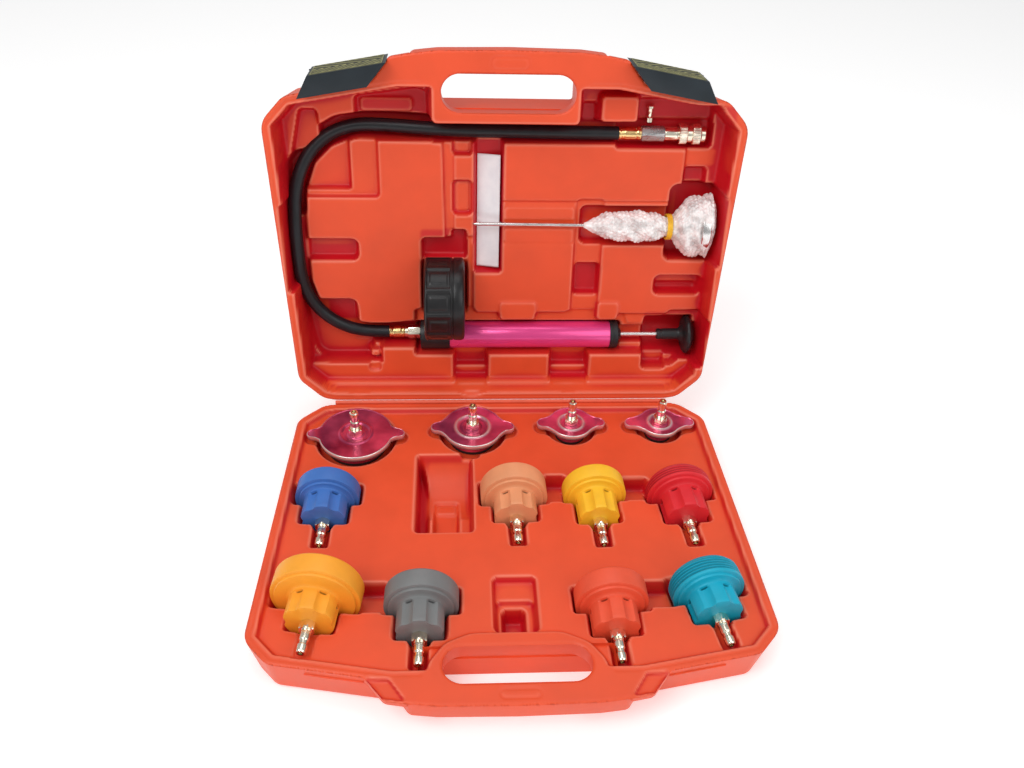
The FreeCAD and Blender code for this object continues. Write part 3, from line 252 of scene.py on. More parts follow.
def moulded_sheet(depth, cell, field, extra_painted_shade=None, soft=0.9):
    """A grid over the plan, kept where the field is negative, its border pulled onto the field's zero
    line along the field's slope. Gives x, v, h, the faces, and two marks: painted shade, from how far each
    point is walled in (its own depth less the blurred depth round it, and the same over a wider reach), from
    great depth and from steep walls; and a painted highlight where a point stands out. The extra painted
    shade adds more at given places. The depth is blurred by a soft reach, as a blown skin is."""
    xs = np.arange(-212, 212 + cell, cell, dtype=float)
    vs = np.arange(-1, 339 + cell, cell, dtype=float)
    x, v = np.meshgrid(xs, vs, indexing="ij")
    f = field(x, v)
    h = np.where(f < 0, depth(x, v), 0)
    slope = np.hypot(*np.gradient(h, cell))
    # painted shade: crimson laid into recesses, deep hollows and steep walls, where shadow and red
    # inter-reflection fall
    painted_shade = share(
        0.9 * share((h - spread(h, cell, 5) - 0.8) / 5) + 0.45 * share((h - spread(h, cell, 12) - 1.5) / 8)
        + 0.4 * share((h - 36) / 8) + 0.75 * share((slope - 0.6) / 1.4) + (extra_painted_shade(x, v) if extra_painted_shade else 0))
    # painted highlight: a paler colour along raised edges, where the surface stands above its neighbours
    painted_highlight = share(spread(h, cell, 1.8) - h - 0.15) * share(1.6 - slope)
    h = spread(h, cell, soft) if soft else h
    step = 0.05
    for _ in range(2):
        near = (f > -0.35 * cell) & (f < 1.5 * cell)
        nx, nv = x[near], v[near]
        gx = (field(nx + step, nv) - field(nx - step, nv)) / (2 * step)
        gv = (field(nx, nv + step) - field(nx, nv - step)) / (2 * step)
        x[near], v[near] = nx - f[near] * gx, nv - f[near] * gv
        f[near] = field(x[near], v[near])
    faces = grid_faces(*x.shape)
    faces = faces[(f.ravel()[faces] < 0.2).all(axis=1)]
    used, faces = np.unique(faces, return_inverse=True)
    x, v = x.ravel()[used], v.ravel()[used]
    marks = {"painted_shade": painted_shade.ravel()[used], "painted_highlight": painted_highlight.ravel()[used]}
    return x, v, h.ravel()[used], faces.reshape(-1, 4), marks


def inward(path_points):
    """Unit normals of a closed path, pointing to its inside."""
    ahead, behind = np.roll(path_points, -1, axis=0), np.roll(path_points, 1, axis=0)
    along = (ahead - behind) / np.maximum(np.linalg.norm(ahead - behind, axis=1), 1e-9)[:, None]
    area = np.sum(path_points[:, 0] * ahead[:, 1] - path_points[:, 1] * ahead[:, 0])
    return np.stack([-along[:, 1], along[:, 0]], axis=1) * (1 if area > 0 else -1)


def wall_rings(path_points, rings, weight=1):
    """The path repeated at each (inset, depth) of the rings, moved in along its normals."""
    normal = inward(path_points) * np.reshape(weight, (-1, 1))
    inset, h = (np.array(c, float)[:, None] for c in zip(*rings))
    return path_points[:, 0] + normal[:, 0] * inset, path_points[:, 1] + normal[:, 1] * inset, h


def case_shell(body, place, depth, material, gap):
    """The outside of one half: drafted wall, rounded foot and flat bottom, then the grip and the ears. The
    wall steps back behind the hand hole, by the gap to each side."""
    points, polygons = [], []

    def join(x, v, h, closed=False):
        """Quads between rings of points, and where it is closed a face over the last ring."""
        start = sum(map(len, points))
        rows, columns = np.broadcast(x, v, h).shape
        points.append(place(x, v, h).reshape(-1, 3))
        polygons.extend((grid_faces(rows, columns, closed=True) + start).tolist())
        if closed:
            polygons.append(list(range(start + (rows - 1) * columns, start + rows * columns)))

    back, front = 284.6, 313.4
    soft = [3, 3, 3, 2] + CORNER_SOFT[4:]
    wall = rounded_path(mirrored([(0, back), (gap, back), (gap, front)] + BODY_EDGE), soft + soft[:0:-1])
    outer = np.where((np.abs(wall[:, 0]) < gap + 0.5) & (wall[:, 1] > 200), 0, 1)
    rings = [(DRAFT * t, EDGE_RADIUS + (depth - EDGE_RADIUS - FOOT) * t) for t in (0, 0.5, 1)]
    rings += [(DRAFT + FOOT * (1 - math.cos(a)), depth - FOOT + FOOT * math.sin(a))
              for a in np.radians(np.linspace(15, 90, 6))]
    x, v, h = wall_rings(wall, rings, outer)
    notch = (np.abs(wall[:, 0]) < gap + 6) & (wall[:, 1] > 290)
    x = np.where(notch, np.sign(x) * np.maximum(np.abs(x), gap), x)
    v = np.where(notch, np.minimum(v, front - np.array(rings)[:, :1]), v)
    join(x, v, h, True)
    grip = [(0, 337), (60, 336), (81.5, 333.6), (95.1, 314.3), (gap - 0.5, 313), (gap - 0.5, 284)]
    ear = [(115.5, 310.7), (99.9, 330.3), (81.5, 333.6), (93, 308)]
    other_ear = [(-a, b) for a, b in ear]
    for corners, thick in ((mirrored(grip), GRIP_THICK), (ear, EAR_THICK), (other_ear, EAR_THICK)):
        edge = rounded_path(corners, 3)
        x, v, h = wall_rings(edge, [(0, EDGE_RADIUS), (0, thick - 1.6), (0.5, thick - 0.5), (1.6, thick)])
        hidden = (np.abs(edge[:, 0]) < 94) & (edge[:, 1] < 314)
        join(x, v, np.where(hidden, thick, h), thick == EAR_THICK)
        if thick == GRIP_THICK:
            inner = edge + inward(edge) * 1.6
            x, v, _, faces, _ = moulded_sheet(
                lambda x, v: np.full(x.shape, thick), 3,
                lambda x, v: np.maximum(polygon_field(x, v, inner), -(hole_field(x, v) - 3)), soft=0)
            polygons.extend((faces + sum(map(len, points))).tolist())
            points.append(place(x, v, thick))
    angle = np.linspace(0, 2 * np.pi, 64, endpoint=False)
    hole = np.stack([np.sign(np.cos(angle)) * HOLE_HALF + HOLE_RADIUS * np.cos(angle),
                     HOLE_V + HOLE_RADIUS * np.sin(angle)], axis=1)
    join(*wall_rings(hole, [(0, EDGE_RADIUS), (0, GRIP_THICK - 3), (-0.9, GRIP_THICK - 0.9),
        (-3, GRIP_THICK)]))
    shell = moulded("case_" + body + "_shell", np.concatenate(points), polygons, material)
    belongs(outward(shell), body, "case_red", "case_" + body)


def finish(name, colour, roughness=0.45, metal=0, tint=0.06, patch=28, grain=900, bump=0.05, marks=(),
           specular=0.4, second=None):
    """A surface finish: the colour drifts a little in patches, fine grain roughens and dents it, and each
    mark (a number stored at the points) fades another colour in."""
    material = bpy.data.materials.new(name)
    material.use_nodes = True
    tree = material.node_tree
    where = node(tree, "TexCoord").outputs["Object"]
    noise = node(tree, "TexNoise", Scale=patch, Detail=3, Vector=where).outputs["Fac"]
    ramp = node(tree, "ValToRGB", Fac=noise)
    dark, light = ramp.color_ramp.elements
    dark.position, light.position = 0.3, 0.7
    dark.color = (*(max(c * (1 - tint), 0) for c in second or colour), 1)
    light.color = (*(min(c * (1 + tint), 1) for c in colour), 1)
    last = ramp.outputs["Color"]
    for mark, other in marks:
        stored = node(tree, "Attribute", attribute_name=mark).outputs["Fac"]
        last = node(tree, "Mix", data_type="RGBA", A=last, B=(*other, 1), Factor=stored).outputs["Result"]
    rough = node(tree, "MapRange", Value=noise, To_Min=max(roughness - 0.07, 0.03), To_Max=roughness + 0.1)
    fine = node(tree, "TexNoise", Scale=grain, Detail=2, Vector=where).outputs["Fac"]
    relief = node(tree, "Bump", Strength=bump, Distance=0.0006, Height=fine)
    feed(tree, tree.nodes["Principled BSDF"], Base_Color=last, Metallic=metal, Specular_IOR_Level=specular,
         Roughness=rough.outputs["Result"], Normal=relief.outputs["Normal"])
    return material


# x, forward, turn, radius, length, neck's radius and length, thread outside
ADAPTER_PLACES = {
    "blue": (-161.4, 128.6, 2, 28.4, 18, 19.9, 22.6, False),
    "tan": (6, 131.5, -1.5, 30, 21, 19.4, 20.5, False),
    "yellow": (79.5, 128.9, -2, 28.6, 18, 18.5, 26, False),
    "red": (157.4, 130.2, -4, 30.2, 17, 19.9, 25.5, True),
    "orange": (-159, 242.6, 6.5, 36.5, 20, 20.3, 21, False),
    "grey": (-74.7, 248.2, 1, 30.2, 19, 19.6, 24, False),
    "vermilion": (79.6, 249.4, -1, 30, 19, 19.4, 23.2, False),
    "teal": (161.4, 239.7, -8.5, 30.5, 20, 20.5, 21, True),
}
# x, forward, radius, ear's tip and radius, where its neck starts and how wide
CAP_PLACES = {
    "cap_large": (-141.5, 46.5, 35, 46.5, 5.2, 0.93, 0.3),
    "cap_medium": (-30, 38.5, 29, 40.5, 6, 0.82, 0.56),
    "cap_small": (66, 33.5, 21.5, 33.5, 6, 0.78, 0.62),
    "cap_small_deep": (153.5, 33.5, 20, 34.5, 6, 0.78, 0.62),
}
BASE_FLOOR = 35.5


def cap_field(x, v, spec):
    """Distance to a cap's plan: a disc, and two round ears joined to it by tapering necks."""
    cx, cv, radius, tip, ear, start, broad = spec
    dx, dv = np.abs(x - cx), np.abs(v - cv)
    reach = tip - ear
    along = share((dx - radius * start) / (reach - radius * start))
    half = radius * broad * (1 - along) ** 1.6 + ear * (1 - (1 - along) ** 1.6)
    neck = np.where(dx < reach, dv - half, np.hypot(dx - reach, dv) - ear)
    return np.minimum(np.hypot(dx, dv) - radius, np.maximum(neck, dx - tip))


def trough(depth, radius, off):
    """The round floor under a lying cylinder: its axis's depth plus the root of the radius squared less the
    distance from the axis squared."""
    return depth + np.sqrt(np.maximum(radius ** 2 - off ** 2, 0))


def adapter_pocket(h, x, v, spec):
    """Cylinder, neck and nipple hollows lying on their sides, turned with the adapter."""
    px, pv, turn, radius, length, neck, reach, outside = spec
    a = math.radians(turn)
    u = (x - px) * math.cos(a) + (v - pv) * math.sin(a)
    w = -(x - px) * math.sin(a) + (v - pv) * math.cos(a)
    axis_depth = BASE_FLOOR - 0.3 - radius
    wide = radius + 1.5
    sunk = sink(h, box_field(u, w, -wide, wide, -length - 1.5, 1.2, 2), trough(axis_depth + 0.7, wide, u), 2)
    h = np.where(box_field(u, w, -wide - 3, wide + 3, -length - 5, 5) < 0, np.maximum(h, sunk), h)
    wide = neck + 1.5
    neck_floor = np.maximum(trough(axis_depth, wide, u), h)
    h = np.maximum(h, sink(h, box_field(u, w, -wide, wide, -1, reach + 1.2, 2), neck_floor, 2))
    taper = 9.5 - 3.8 * share((w - reach) / 9)
    slot = np.maximum(np.abs(u) - taper, np.maximum(w - reach - 28.2, reach - 2 - w))
    return sink(h, slot, np.maximum(axis_depth + 8, h), 1.8)


def groove(h, field, deep=1.3, half=0.8):
    """A fine round-bottomed groove along a field's zero line: a bell curve of the distance."""
    return h + deep * np.exp(-(field / half) ** 2)


def carve(h, x, v, rows, deeper=False):
    """Ease the depth to each row's floor in turn. A row is a box's left, right, back, front and corner
    radius, or an outline and its corners' softness, then the floor's depth and the wall's width. Deeper keeps
    what is deeper already."""
    for *shape, floor_depth, wall in rows:
        field = box_field(x, v, *shape) if len(shape) == 5 else polygon_field(x, v, *shape)
        sunk = sink(h, field, floor_depth, wall)
        h = np.maximum(h, sunk) if deeper else sunk
    return h


BASE_LAND = [(-71, 330), (-70.4, 300), (-57, 280.5), (-36, 271.5), (36, 271.5), (58, 282), (70.4, 300),
    (71, 330)]
EAR_PANEL = [(97.5, 313.4), (113, 312.4), (100.4, 328), (85.5, 330.4)]


def base_depth(x, v):
    """Depth of the base's tray below the parting plane, feature by feature."""
    body = polygon_field(x, v, mirrored(BODY_EDGE))
    land = polygon_field(x, v, BASE_LAND, 6)
    h = sink(np.zeros(x.shape), np.maximum(body + RIM_WIDTH + 1.5, -land), 5, 2.2)
    h = h + groove(0, body + 4.6) * (land > 2)
    h = groove(h, box_field(x, v, -14, 16, 323.6, 331, 3.6))
    h = carve(h, x, v, [([(side * a, b) for a, b in EAR_PANEL], 3.2, 0.8) for side in (-1, 1)])
    for spec in CAP_PLACES.values():
        h = sink(h, cap_field(x, v, spec) - 1.2, 8, 1.8)
        h = sink(h, np.hypot(x - spec[0], v - spec[1]) - spec[2] - 0.6, 15.6, 1.6)
    h = carve(h, x, v, [(-40.5, -25.5, 58, 73.5, 3, 11, 1.8), (36, 53, 101, 129, 2, 19.5, 2),
        (107, 129, 105, 128, 2, 19.5, 2), (-126, -103, 222, 246, 2, 19.5, 2),
        (109, 133, 225, 246, 2, 19.5, 2)], True)
    for spec in ADAPTER_PLACES.values():
        h = adapter_pocket(h, x, v, spec)
    # the gauge's pocket, with its steps at the left and for the boot's foot
    bowl = trough(-7, 40.5, v - GAUGE_V)
    bowl = np.maximum(np.where(v > 118, np.clip(bowl, 24, 33), bowl), 5)
    h = carve(h, x, v, [(-80.5, -33.2, 71, 164, 1, bowl, 1.4)], True)
    side = np.minimum(-72.5, -80.5 + 8.5 * share((v - 74) / 30) ** 0.5)
    left = np.maximum.reduce([x - side, -80.5 - x, v - 163, 74 - v])
    h = np.maximum(h, sink(h, left, 35, 1.8) * (v > 72))
    h = carve(h, x, v, [(-65.5, -45, 107, 163, 2, 36.4, 1.4)], True)
    return carve(h, x, v, [(-63.5, -47, 109.5, 119, 2, 34.6, 1.2), (-15, 17.5, 217.5, 268.5, 3, 12, 2),
        (-13, 15.5, 237, 267.5, 3, 16.5, 1.8), (-8, 8, 242, 265.5, 3, 33, 1.6)])


# CRIMSON is the painted shade in the trays' hollows and on their walls; BRIGHT_EDGE is a painted highlight on
# raised edges and on the hinge's loop
CRIMSON, BRIGHT_EDGE = (0.58, 0.004, 0.012), (0.86, 0.2, 0.12)
base_red, lid_red = (finish("case_plastic_" + half, (0.78, 0.082, 0.024), 0.42, tint=0.05,
    marks=(("painted_shade", CRIMSON), ("painted_highlight", BRIGHT_EDGE))) for half in ("base", "lid"))


def tray(body, place, depth, deep, material, extra_painted_shade):
    """The whole face of one half: rim, tray and pockets in one sheet, its outer edge rolled in a quarter
    circle. No hollow comes within 1.3 mm of the drafted outer wall."""
    x, v, h, faces, marks = moulded_sheet(depth, TRAY_CELL, case_field, extra_painted_shade)
    room = -1.3 - polygon_field(x, v, mirrored(BODY_EDGE))
    h = np.minimum(h, np.maximum(EDGE_RADIUS + (deep - EDGE_RADIUS - FOOT) * room / DRAFT, 8))
    d = np.clip(EDGE_RADIUS + case_field(x, v), 0, EDGE_RADIUS)
    h = np.maximum(h, PARTING_GAP) + EDGE_RADIUS - np.sqrt(EDGE_RADIUS ** 2 - d ** 2)
    sheet = moulded("case_" + body + "_tray", place(x, v, h), faces, material, marks)
    belongs(sheet, body, "case_red", "case_" + body)


def base_thick(x, v):
    """On the floor of the gauge's hollow the painted shade is taken down, so it keeps its light colour."""
    return -0.75 * share(1 - box_field(x, v, -70, -35, 76, 163, 1) / 3)


tray("base", in_base, base_depth, BASE_DEPTH, base_red, base_thick)
case_shell("base", in_base, BASE_DEPTH, base_red, 76)

# ---- Living hinge ----
# A thin moulded band along the back joins the halves, and bends where it is thinnest.
# It is the same plastic, with a painted highlight round the loop of the bend.
hinge_red = finish("hinge_plastic", (0.74, 0.07, 0.022), 0.38, tint=0.12, patch=60,
    marks=(("bend_highlight", BRIGHT_EDGE),))
turn = np.radians(np.linspace(-200, 110, 24))
strap = np.stack([1.95 * np.cos(turn), -1.95 * np.sin(turn)], axis=1)
strap = np.concatenate([strap, [(1.7, 2.2), (1.7, 2.9), (0.3, 2.9), (0.1, 1.2)]])
x, part = np.meshgrid(np.linspace(-165, 165, 331), np.arange(len(strap)), indexing="ij")
wave = 1 + 0.04 * np.cos(2 * np.pi * x / 6)
# the loop of the strap gets half of the painted highlight colour
hinge = moulded("living_hinge_band", in_base(x, strap[part, 0] * wave, strap[part, 1] * wave),
                grid_faces(*x.shape, closed=True), hinge_red, {"bend_highlight": (part < 24) * 0.5})
belongs(outward(hinge, 50, True), "base", "case_red", "living_hinge")

# ---- Case lid ----
# The upper half is deeper, moulded in the same plastic, and its tray holds the tester.
# Raised lands, finger pockets and ridges between the hollows stiffen the thin skin.
OPENING = math.radians(100)
LID_DEPTH, LAND = 58, 28
PUMP_V, PUMP_H, GAUGE_H = 58.2, 34, 7
LEFT_LAND = [(-184, 199), (-115, 199), (-115, 256), (-113, 258.5), (-71, 256), (-68, 258), (-58, 258),
    (-56, 160.5), (-75.5, 160), (-76.5, 86), (-85, 77), (-109, 74), (-123, 68), (-132, 71), (-143, 72),
    (-144, 96), (-179, 96), (-182, 117), (-184, 167)]
HINGE_DECK = [(-200, -5), (200, -5), (206, 20), (190, 33), (182, 39), (172, 29), (142, 29), (142, 44),
    (27, 44), (23, 48), (-5, 48), (-9, 44), (-81, 44), (-84, 52), (-103, 52), (-105, 60), (-118, 60),
    (-118, 33), (-178, 33), (-190, 33), (-206, 20)]
CORNER_POCKET = [(-179, 96), (-144, 96), (-143, 72), (-129, 70), (-129, 33), (-168, 33), (-181, 42),
    (-185, 62), (-192, 100), (-186, 120)]
LEFT_RUN = [(-184, 120), (-184, 200), (-199, 200), (-198, 120)]
UPPER_RUN = [(-199, 185), (-185, 185), (-184, 207), (-175, 231), (-158, 247.5), (-134, 257), (-66, 256),
    (-66, 272), (-120, 275), (-150, 271), (-178, 255), (-197, 226)]
PUMP_TRENCH = [(-84, 44), (-84, 86), (-76, 88), (-30, 88), (-26, 83), (61, 83), (65, 85), (92, 85), (114, 81),
    (120, 81), (124, 70), (140, 69), (145, 75), (160, 78), (167, 85), (197, 86), (196, 39), (143, 39),
    (143, 44)]
POCKET_A = [(-132, 290), (-80, 298), (-71, 295), (-70, 276), (-132, 276)]
POCKET_B = [(-181, 278), (-168, 278), (-166, 252), (-174, 244), (-190, 240)]
STEP_C = [(-142, 258), (-142, 209), (-186, 209), (-190, 225), (-176, 240), (-160, 254)]
LEFT_LAND_UP = [(-184, 199), (-115, 199), (-115, 258), (-158, 247), (-176, 231)]


def in_lid(x, v, h):
    """Tray coordinates of the shut lid, turned back about the hinge by the opening angle."""
    x, v, h = np.broadcast_arrays(x, v, h)
    y = v * -math.cos(OPENING) + h * math.sin(OPENING)
    z = v * math.sin(OPENING) + h * math.cos(OPENING)
    return np.stack([x, HINGE_Y + y, HINGE_Z + z], axis=-1) / 1000


def lid_depth(x, v):
    """Depth of the lid's tray below the parting plane, feature by feature."""
    body = polygon_field(x, v, mirrored(BODY_EDGE))
    land = box_field(x, v, -70, 66, 271.5, 400, 9)
    hollow = np.maximum(body + RIM_WIDTH + 3.5, -land)
    h = sink(np.zeros(x.shape), hollow, 32, 4.5)
    h = h + groove(0, body + 4.6, 1.4) * (land > 2)
    h = groove(h, box_field(x, v, -15, 16.5, 321, 331.5, 4))
    # the lands, and the finger pockets in them
    h = sink(h, np.maximum(polygon_field(x, v, LEFT_LAND), hollow), LAND, 2)
    h = carve(h, x, v, [(LEFT_LAND_UP, LAND, 2), (-184, -116.5, 202.5, 257, 2, 33, 2.4), (STEP_C, 39.4, 2.6),
        (-46, -27, 164, 258, 2, LAND + 1, 2), (-3.5, 163, 199, 253, 2, LAND, 2),
        (28, 62, 252, 254.5, 1, LAND, 1.5), (-3.5, 166, 84, 196, 2, 29.5, 2), (-28, 66, 84, 156, 2, LAND, 2),
        (94, 195, 84, 156, 3, LAND, 2), (0.5, 64.5, 178, 192, 3, 28, 1.4),
        (0.5, 64.5, 158, 171.5, 3, 28, 1.4), (68, 92, 86, 199, 3, 32, 1.8),
        (69.5, 91.5, 104.5, 134, 3, 41, 1.8), (149, 192, 106, 122.5, 4, 39, 2.2),
        (150, 190, 107, 113, 3, 42, 1.8), (-186, -138.5, 141, 158.5, 5, 39, 2.2),
        (-47, -31.5, 241.5, 257, 3, 37, 1.6), (-45, -33.5, 243.5, 255, 2, 34.5, 1.4),
        (-47, -31.5, 185.5, 216, 3, 37, 1.6), (-45, -33.5, 187.5, 214, 2, 34.5, 1.4)])
    h = sink(h, np.maximum(polygon_field(x, v, CORNER_POCKET, 5), hollow), 41, 3.6)
    # the deck by the hinge, and the run of the hose
    h = np.minimum(h, sink(h, polygon_field(x, v, HINGE_DECK, 1.5), 20, 3))
    h = np.minimum(h, sink(h, box_field(x, v, -176, 176, -9, 15.5, 2), 13, 1.2))
    h = carve(h, x, v, [(-130.5, -121.5, 39, 45, 2, 24.5, 2.2), (-130.5, -121.5, 26, 33, 2, 23, 2),
                        (LEFT_RUN, 34, 2)])
    h = sink(h, np.maximum(polygon_field(x, v, UPPER_RUN, 4), hollow), 50, 3.6)
    h = carve(h, x, v, [(-66, 102, 253.5, 271.3, 2, 40.8, 1.5)], True)
    # the pockets along the front
    h = carve(h, x, v, [(POCKET_A, 2, 40, 2), (-128, -84, 278, 288, 3, 37.5, 1.8), (POCKET_B, 3, 40, 2),
        (118, 184, 268, 291, 3, 41, 2.2), (67.5, 79.5, 272, 287, 2, 40, 1.8),
        (83, 115, 274, 296, 3, 20, 2.2)])
    h = carve(h, x, v, [(100.5, 185, 250, 271.5, 2, 43.3, 2)], True)
    h = carve(h, x, v, [(166, 184, 202, 229, 2, 40, 2)])
    # thermometer hollows and the leaflet's slot
    h = carve(h, x, v, [(156, 197.5, 143, 212.5, 5, 48.2, 3), (73, 158, 158, 191, 4, 41, 2.5),
        (-46, 74, 172.5, 180, 2, 29.5, 1.5)], True)
    h = carve(h, x, v, [(-27, -3.5, 128, 252, 1.5, 40.2, 1.2)])
    # pump, gauge and hose fittings
    barrel, rim, knob = (trough(PUMP_H, radius, v - PUMP_V) for radius in (14.3, 20.3, 13))
    h = carve(h, x, v, [(PUMP_TRENCH, 34, 2.4), (-84, 117.3, 44.2, 72.2, 2, barrel, 1.2),
        (116, 184, 51, 66, 2, 41.8, 2), (143.5, 189.3, 38.2, 78.2, 1, rim, 1),
        (143.5, 193.6, 38.2, 78.2, 1, knob, 1), (160, 186, 38, 50, 3, 38, 1.8), (-76.8, -35.5, 72, 148, 1,
        trough(GAUGE_H, 39.3, v - GAUGE_V), 1.5), (-76, -37, 142, 160, 2, 40, 2),
        (-48, -37, 142, 168, 2, 40, 2), (-70, -51, 60, 90, 2, 42, 2), (-145, -80, 52, 71, 2, 41.8, 2)], True)
    # hollows over the caps and their nipples
    for cx, cv, radius, *_ in CAP_PLACES.values():
        h = np.maximum(h, sink(h, np.hypot(x - cx, v - cv) - radius - 1.5, 4.5, 1.5))
    h = carve(h, x, v, [(s[0] - 10, s[0] + 10, s[1] - 6, s[1] + 11, 2, 36, 2.5) for s in CAP_PLACES.values()],
        True)
    h = carve(h, x, v, [(-47, -15, 15.8, 44.5, 2, 29, 1.8), (-46, -16, 27, 43.5, 2, 36, 1.8),
        (49, 86, 15.8, 44.5, 2, 29, 1.8), (50, 85, 27, 43.5, 2, 36, 1.8)])
    # nibs that keep the barrel down
    nibs = carve(h, x, v, [(-2.5, 32, 77.5, 95.5, 3, 26, 1.8), (93.5, 113.5, 77.5, 95.5, 3, 26, 1.8)])
    return np.where(v > 73, nibs, h)


def lid_thin(x, v):
    """More painted crimson shade in the lid's deepest pockets and along some walls; less painted shade by the
    hinge.
    """
    boxes = ((66, 81, 271, 289), (117, 196, 262, 292), (100, 196, 249, 272), (165, 199, 145, 231),
        (-77, -36, 140, 169), (69, 92, 104, 134), (-27, -3, 128, 252), (150, 190, 107, 113),
        (-185, -140, 141, 150), (-198, -186, 120, 235), (49, 86, 26, 36), (-47, -15, 26, 36),
        (143, 199, 36, 84), (-168, -144, 74, 96), (-115, -80, 66, 72))
    near = np.minimum.reduce([polygon_field(x, v, POCKET_A)] + [box_field(x, v, *box, 2) for box in boxes])
    return 0.8 * share(1 - near / 3) - share((18 - v) / 2)


tray("lid", in_lid, lid_depth, LID_DEPTH, lid_red, lid_thin)
case_shell("lid", in_lid, LID_DEPTH, lid_red, 60.5)

# ---- Latches ----
# Two slate plastic snap latches swing on steel pins in the lid's lugs beside the grip.
# The outer face carries a grip strip of slanted ribs, picked out in olive.
slate = finish("latch_slate_plastic", (0.013, 0.02, 0.026), 0.36, tint=0.2, patch=45, grain=1400, bump=0.08)
olive = finish("latch_grip_olive", (0.27, 0.26, 0.11), 0.45, tint=0.3, patch=120, grain=1600, bump=0.12,
               marks=(("groove", (0.012, 0.014, 0.016)),))


def dress(material, *names):
    """Put a finish on CAD pieces that are shown as they are."""
    for name in names:
        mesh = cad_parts[name].data
        mesh.materials.clear()
        mesh.materials.append(material)


def softened(name, source, body, material, slot, bevel):
    """A copy of a CAD piece with its doubles merged, flat faces joined and edges rounded."""
    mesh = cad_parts[source].data.copy()
    mesh.materials.clear()
    mesh.materials.append(material)
    thing = add(name, mesh)
    mend(mesh, 1)
    rounding = thing.modifiers.new("rounding", "BEVEL")
    rounding.width, rounding.segments = bevel / 1000, 3
    rounding.limit_method, rounding.angle_limit = "ANGLE", math.radians(30)
    rounding.harden_normals = True
    return belongs(thing, body, slot, source)


CORNER_X, CORNER_V = BODY_EDGE[2]
EDGE_X, EDGE_V = 0.98449, 0.17545


def latch_point(side, along, out, h, place=in_lid):
    """From the front corner along the case's slanting front edge, out from it, and in depth."""
    x, v = CORNER_X - along * EDGE_X + out * EDGE_V, CORNER_V + along * EDGE_V + out * EDGE_X
    return place(side * x, v, h)


def edge_bar(name, side, start, end, profile, place, material, body):
    """A bar along the case's front edge: a closed profile of (out, depth) at four places, capped."""
    out, h = rounded_path(profile, 0.8, 5).T
    along = np.array([start, start + 0.4, end - 0.4, end])[:, None]
    out = np.array([0.94, 1, 1, 0.94])[:, None] * (out - out.mean()) + out.mean()
    count = len(h)
    faces = grid_faces(4, count, closed=True).tolist()
    faces += [list(range(count)), list(range(3 * count, 4 * count))]
    bar = moulded(name, latch_point(side, along, out, h, place), faces, material)
    belongs(outward(bar), body, "case_red")


def drawn_in(mesh, side):
    """The latch a little slimmer: what lies over 8 mm out comes in by the share 0.45, and what hangs over
    4 mm down comes up by half. Its slanting ends keep their lines, the inner one 2.7 mm nearer the grip.
    The catch's tip stays 0.6 mm further out, clear of the base's sloping wall."""
    points = np.zeros(len(mesh.vertices) * 3)
    mesh.vertices.foreach_get("co", points)
    x, y, z = points.reshape(-1, 3).T * 1000 - np.array([[0], [HINGE_Y], [HINGE_Z]])
    v, h = -y * math.cos(OPENING) + z * math.sin(OPENING), y * math.sin(OPENING) + z * math.cos(OPENING)
    dx, dv = side * x - CORNER_X, v - CORNER_V
    along, out = -EDGE_X * dx + EDGE_V * dv, EDGE_V * dx + EDGE_X * dv
    part = (along - 15 - 0.75 * out) / (56.5 + 0.386 * out)
    part = np.where(np.abs(part - 0.5) < 0.48, part * 56.5 / 59.8, part)
    slim = np.where(out > 8, 8 + 0.55 * (out - 8), out)
    along = 15 + 0.75 * slim + part * (59.8 + 0.386 * slim)
    h = np.where(h < -4, -4 + 0.5 * (h + 4), h)
    slim = np.where((h < -8) & (slim < 1), slim + 0.6, slim)
    mesh.vertices.foreach_set("co", latch_point(side, along, slim, h).astype(np.float32).ravel())


LUG = [(-6, 13), (7.5, 13), (10.5, 15), (10.5, 18), (7.5, 20), (-6, 20)]
CATCH = [(-4, 8), (-0.1, 8.6), (-0.1, 9.8), (-4, 12)]
GRIP_HIGH = 33
for side, name in ((-1, "left"), (1, "right")):
    latch = "latch_" + name
    shell = softened(latch + "_shell", latch, name + "_latch", slate, "latch_slate", 1)
    drawn_in(shell.data, side)
    s, h = np.meshgrid(np.linspace(0, 1, 150), np.linspace(0, 1, 44), indexing="ij")
    along = (15 + 0.75 * 15 + 1.8) * (1 - s) + (74.2 + 1.136 * 15 - 1.8) * s
    high = -11.3 + GRIP_HIGH * h
    edge = np.minimum(np.minimum(s, 1 - s) * 60, np.minimum(h, 1 - h) * GRIP_HIGH)
    rib = (0.5 + 0.5 * np.cos((along + 0.9 * np.abs(high - 5)) * 2 * np.pi / 6.4)) ** 2
    inside = share((edge - 1.2) / 0.6)
    rise = share(edge / 0.8) * (0.9 - 0.75 * inside * (1 - rib))
    dark = share(inside * (1.6 - 2 * rib) + (edge < 0.6))
    grip = moulded(latch + "_grip", latch_point(side, along, 14.95 + rise, high), grid_faces(*s.shape), olive,
                   {"groove": dark})
    if side < 0:
        grip.data.flip_normals()
    belongs(grip, name + "_latch", "latch_slate")
    for number, start in enumerate((34.25, 62.25)):
        edge_bar("lid_lug_%s_%d" % (name, number), side, start, start + 6, LUG, in_lid, lid_red, "lid")
    edge_bar("base_catch_" + name, side, 28.25, 74.25, CATCH, in_base, base_red, "base")

pin_steel = finish("pin_steel", (0.55, 0.55, 0.57), 0.25, 1, tint=0.15, patch=300, grain=2500, bump=0.1)
dress(pin_steel, "latch_pins")

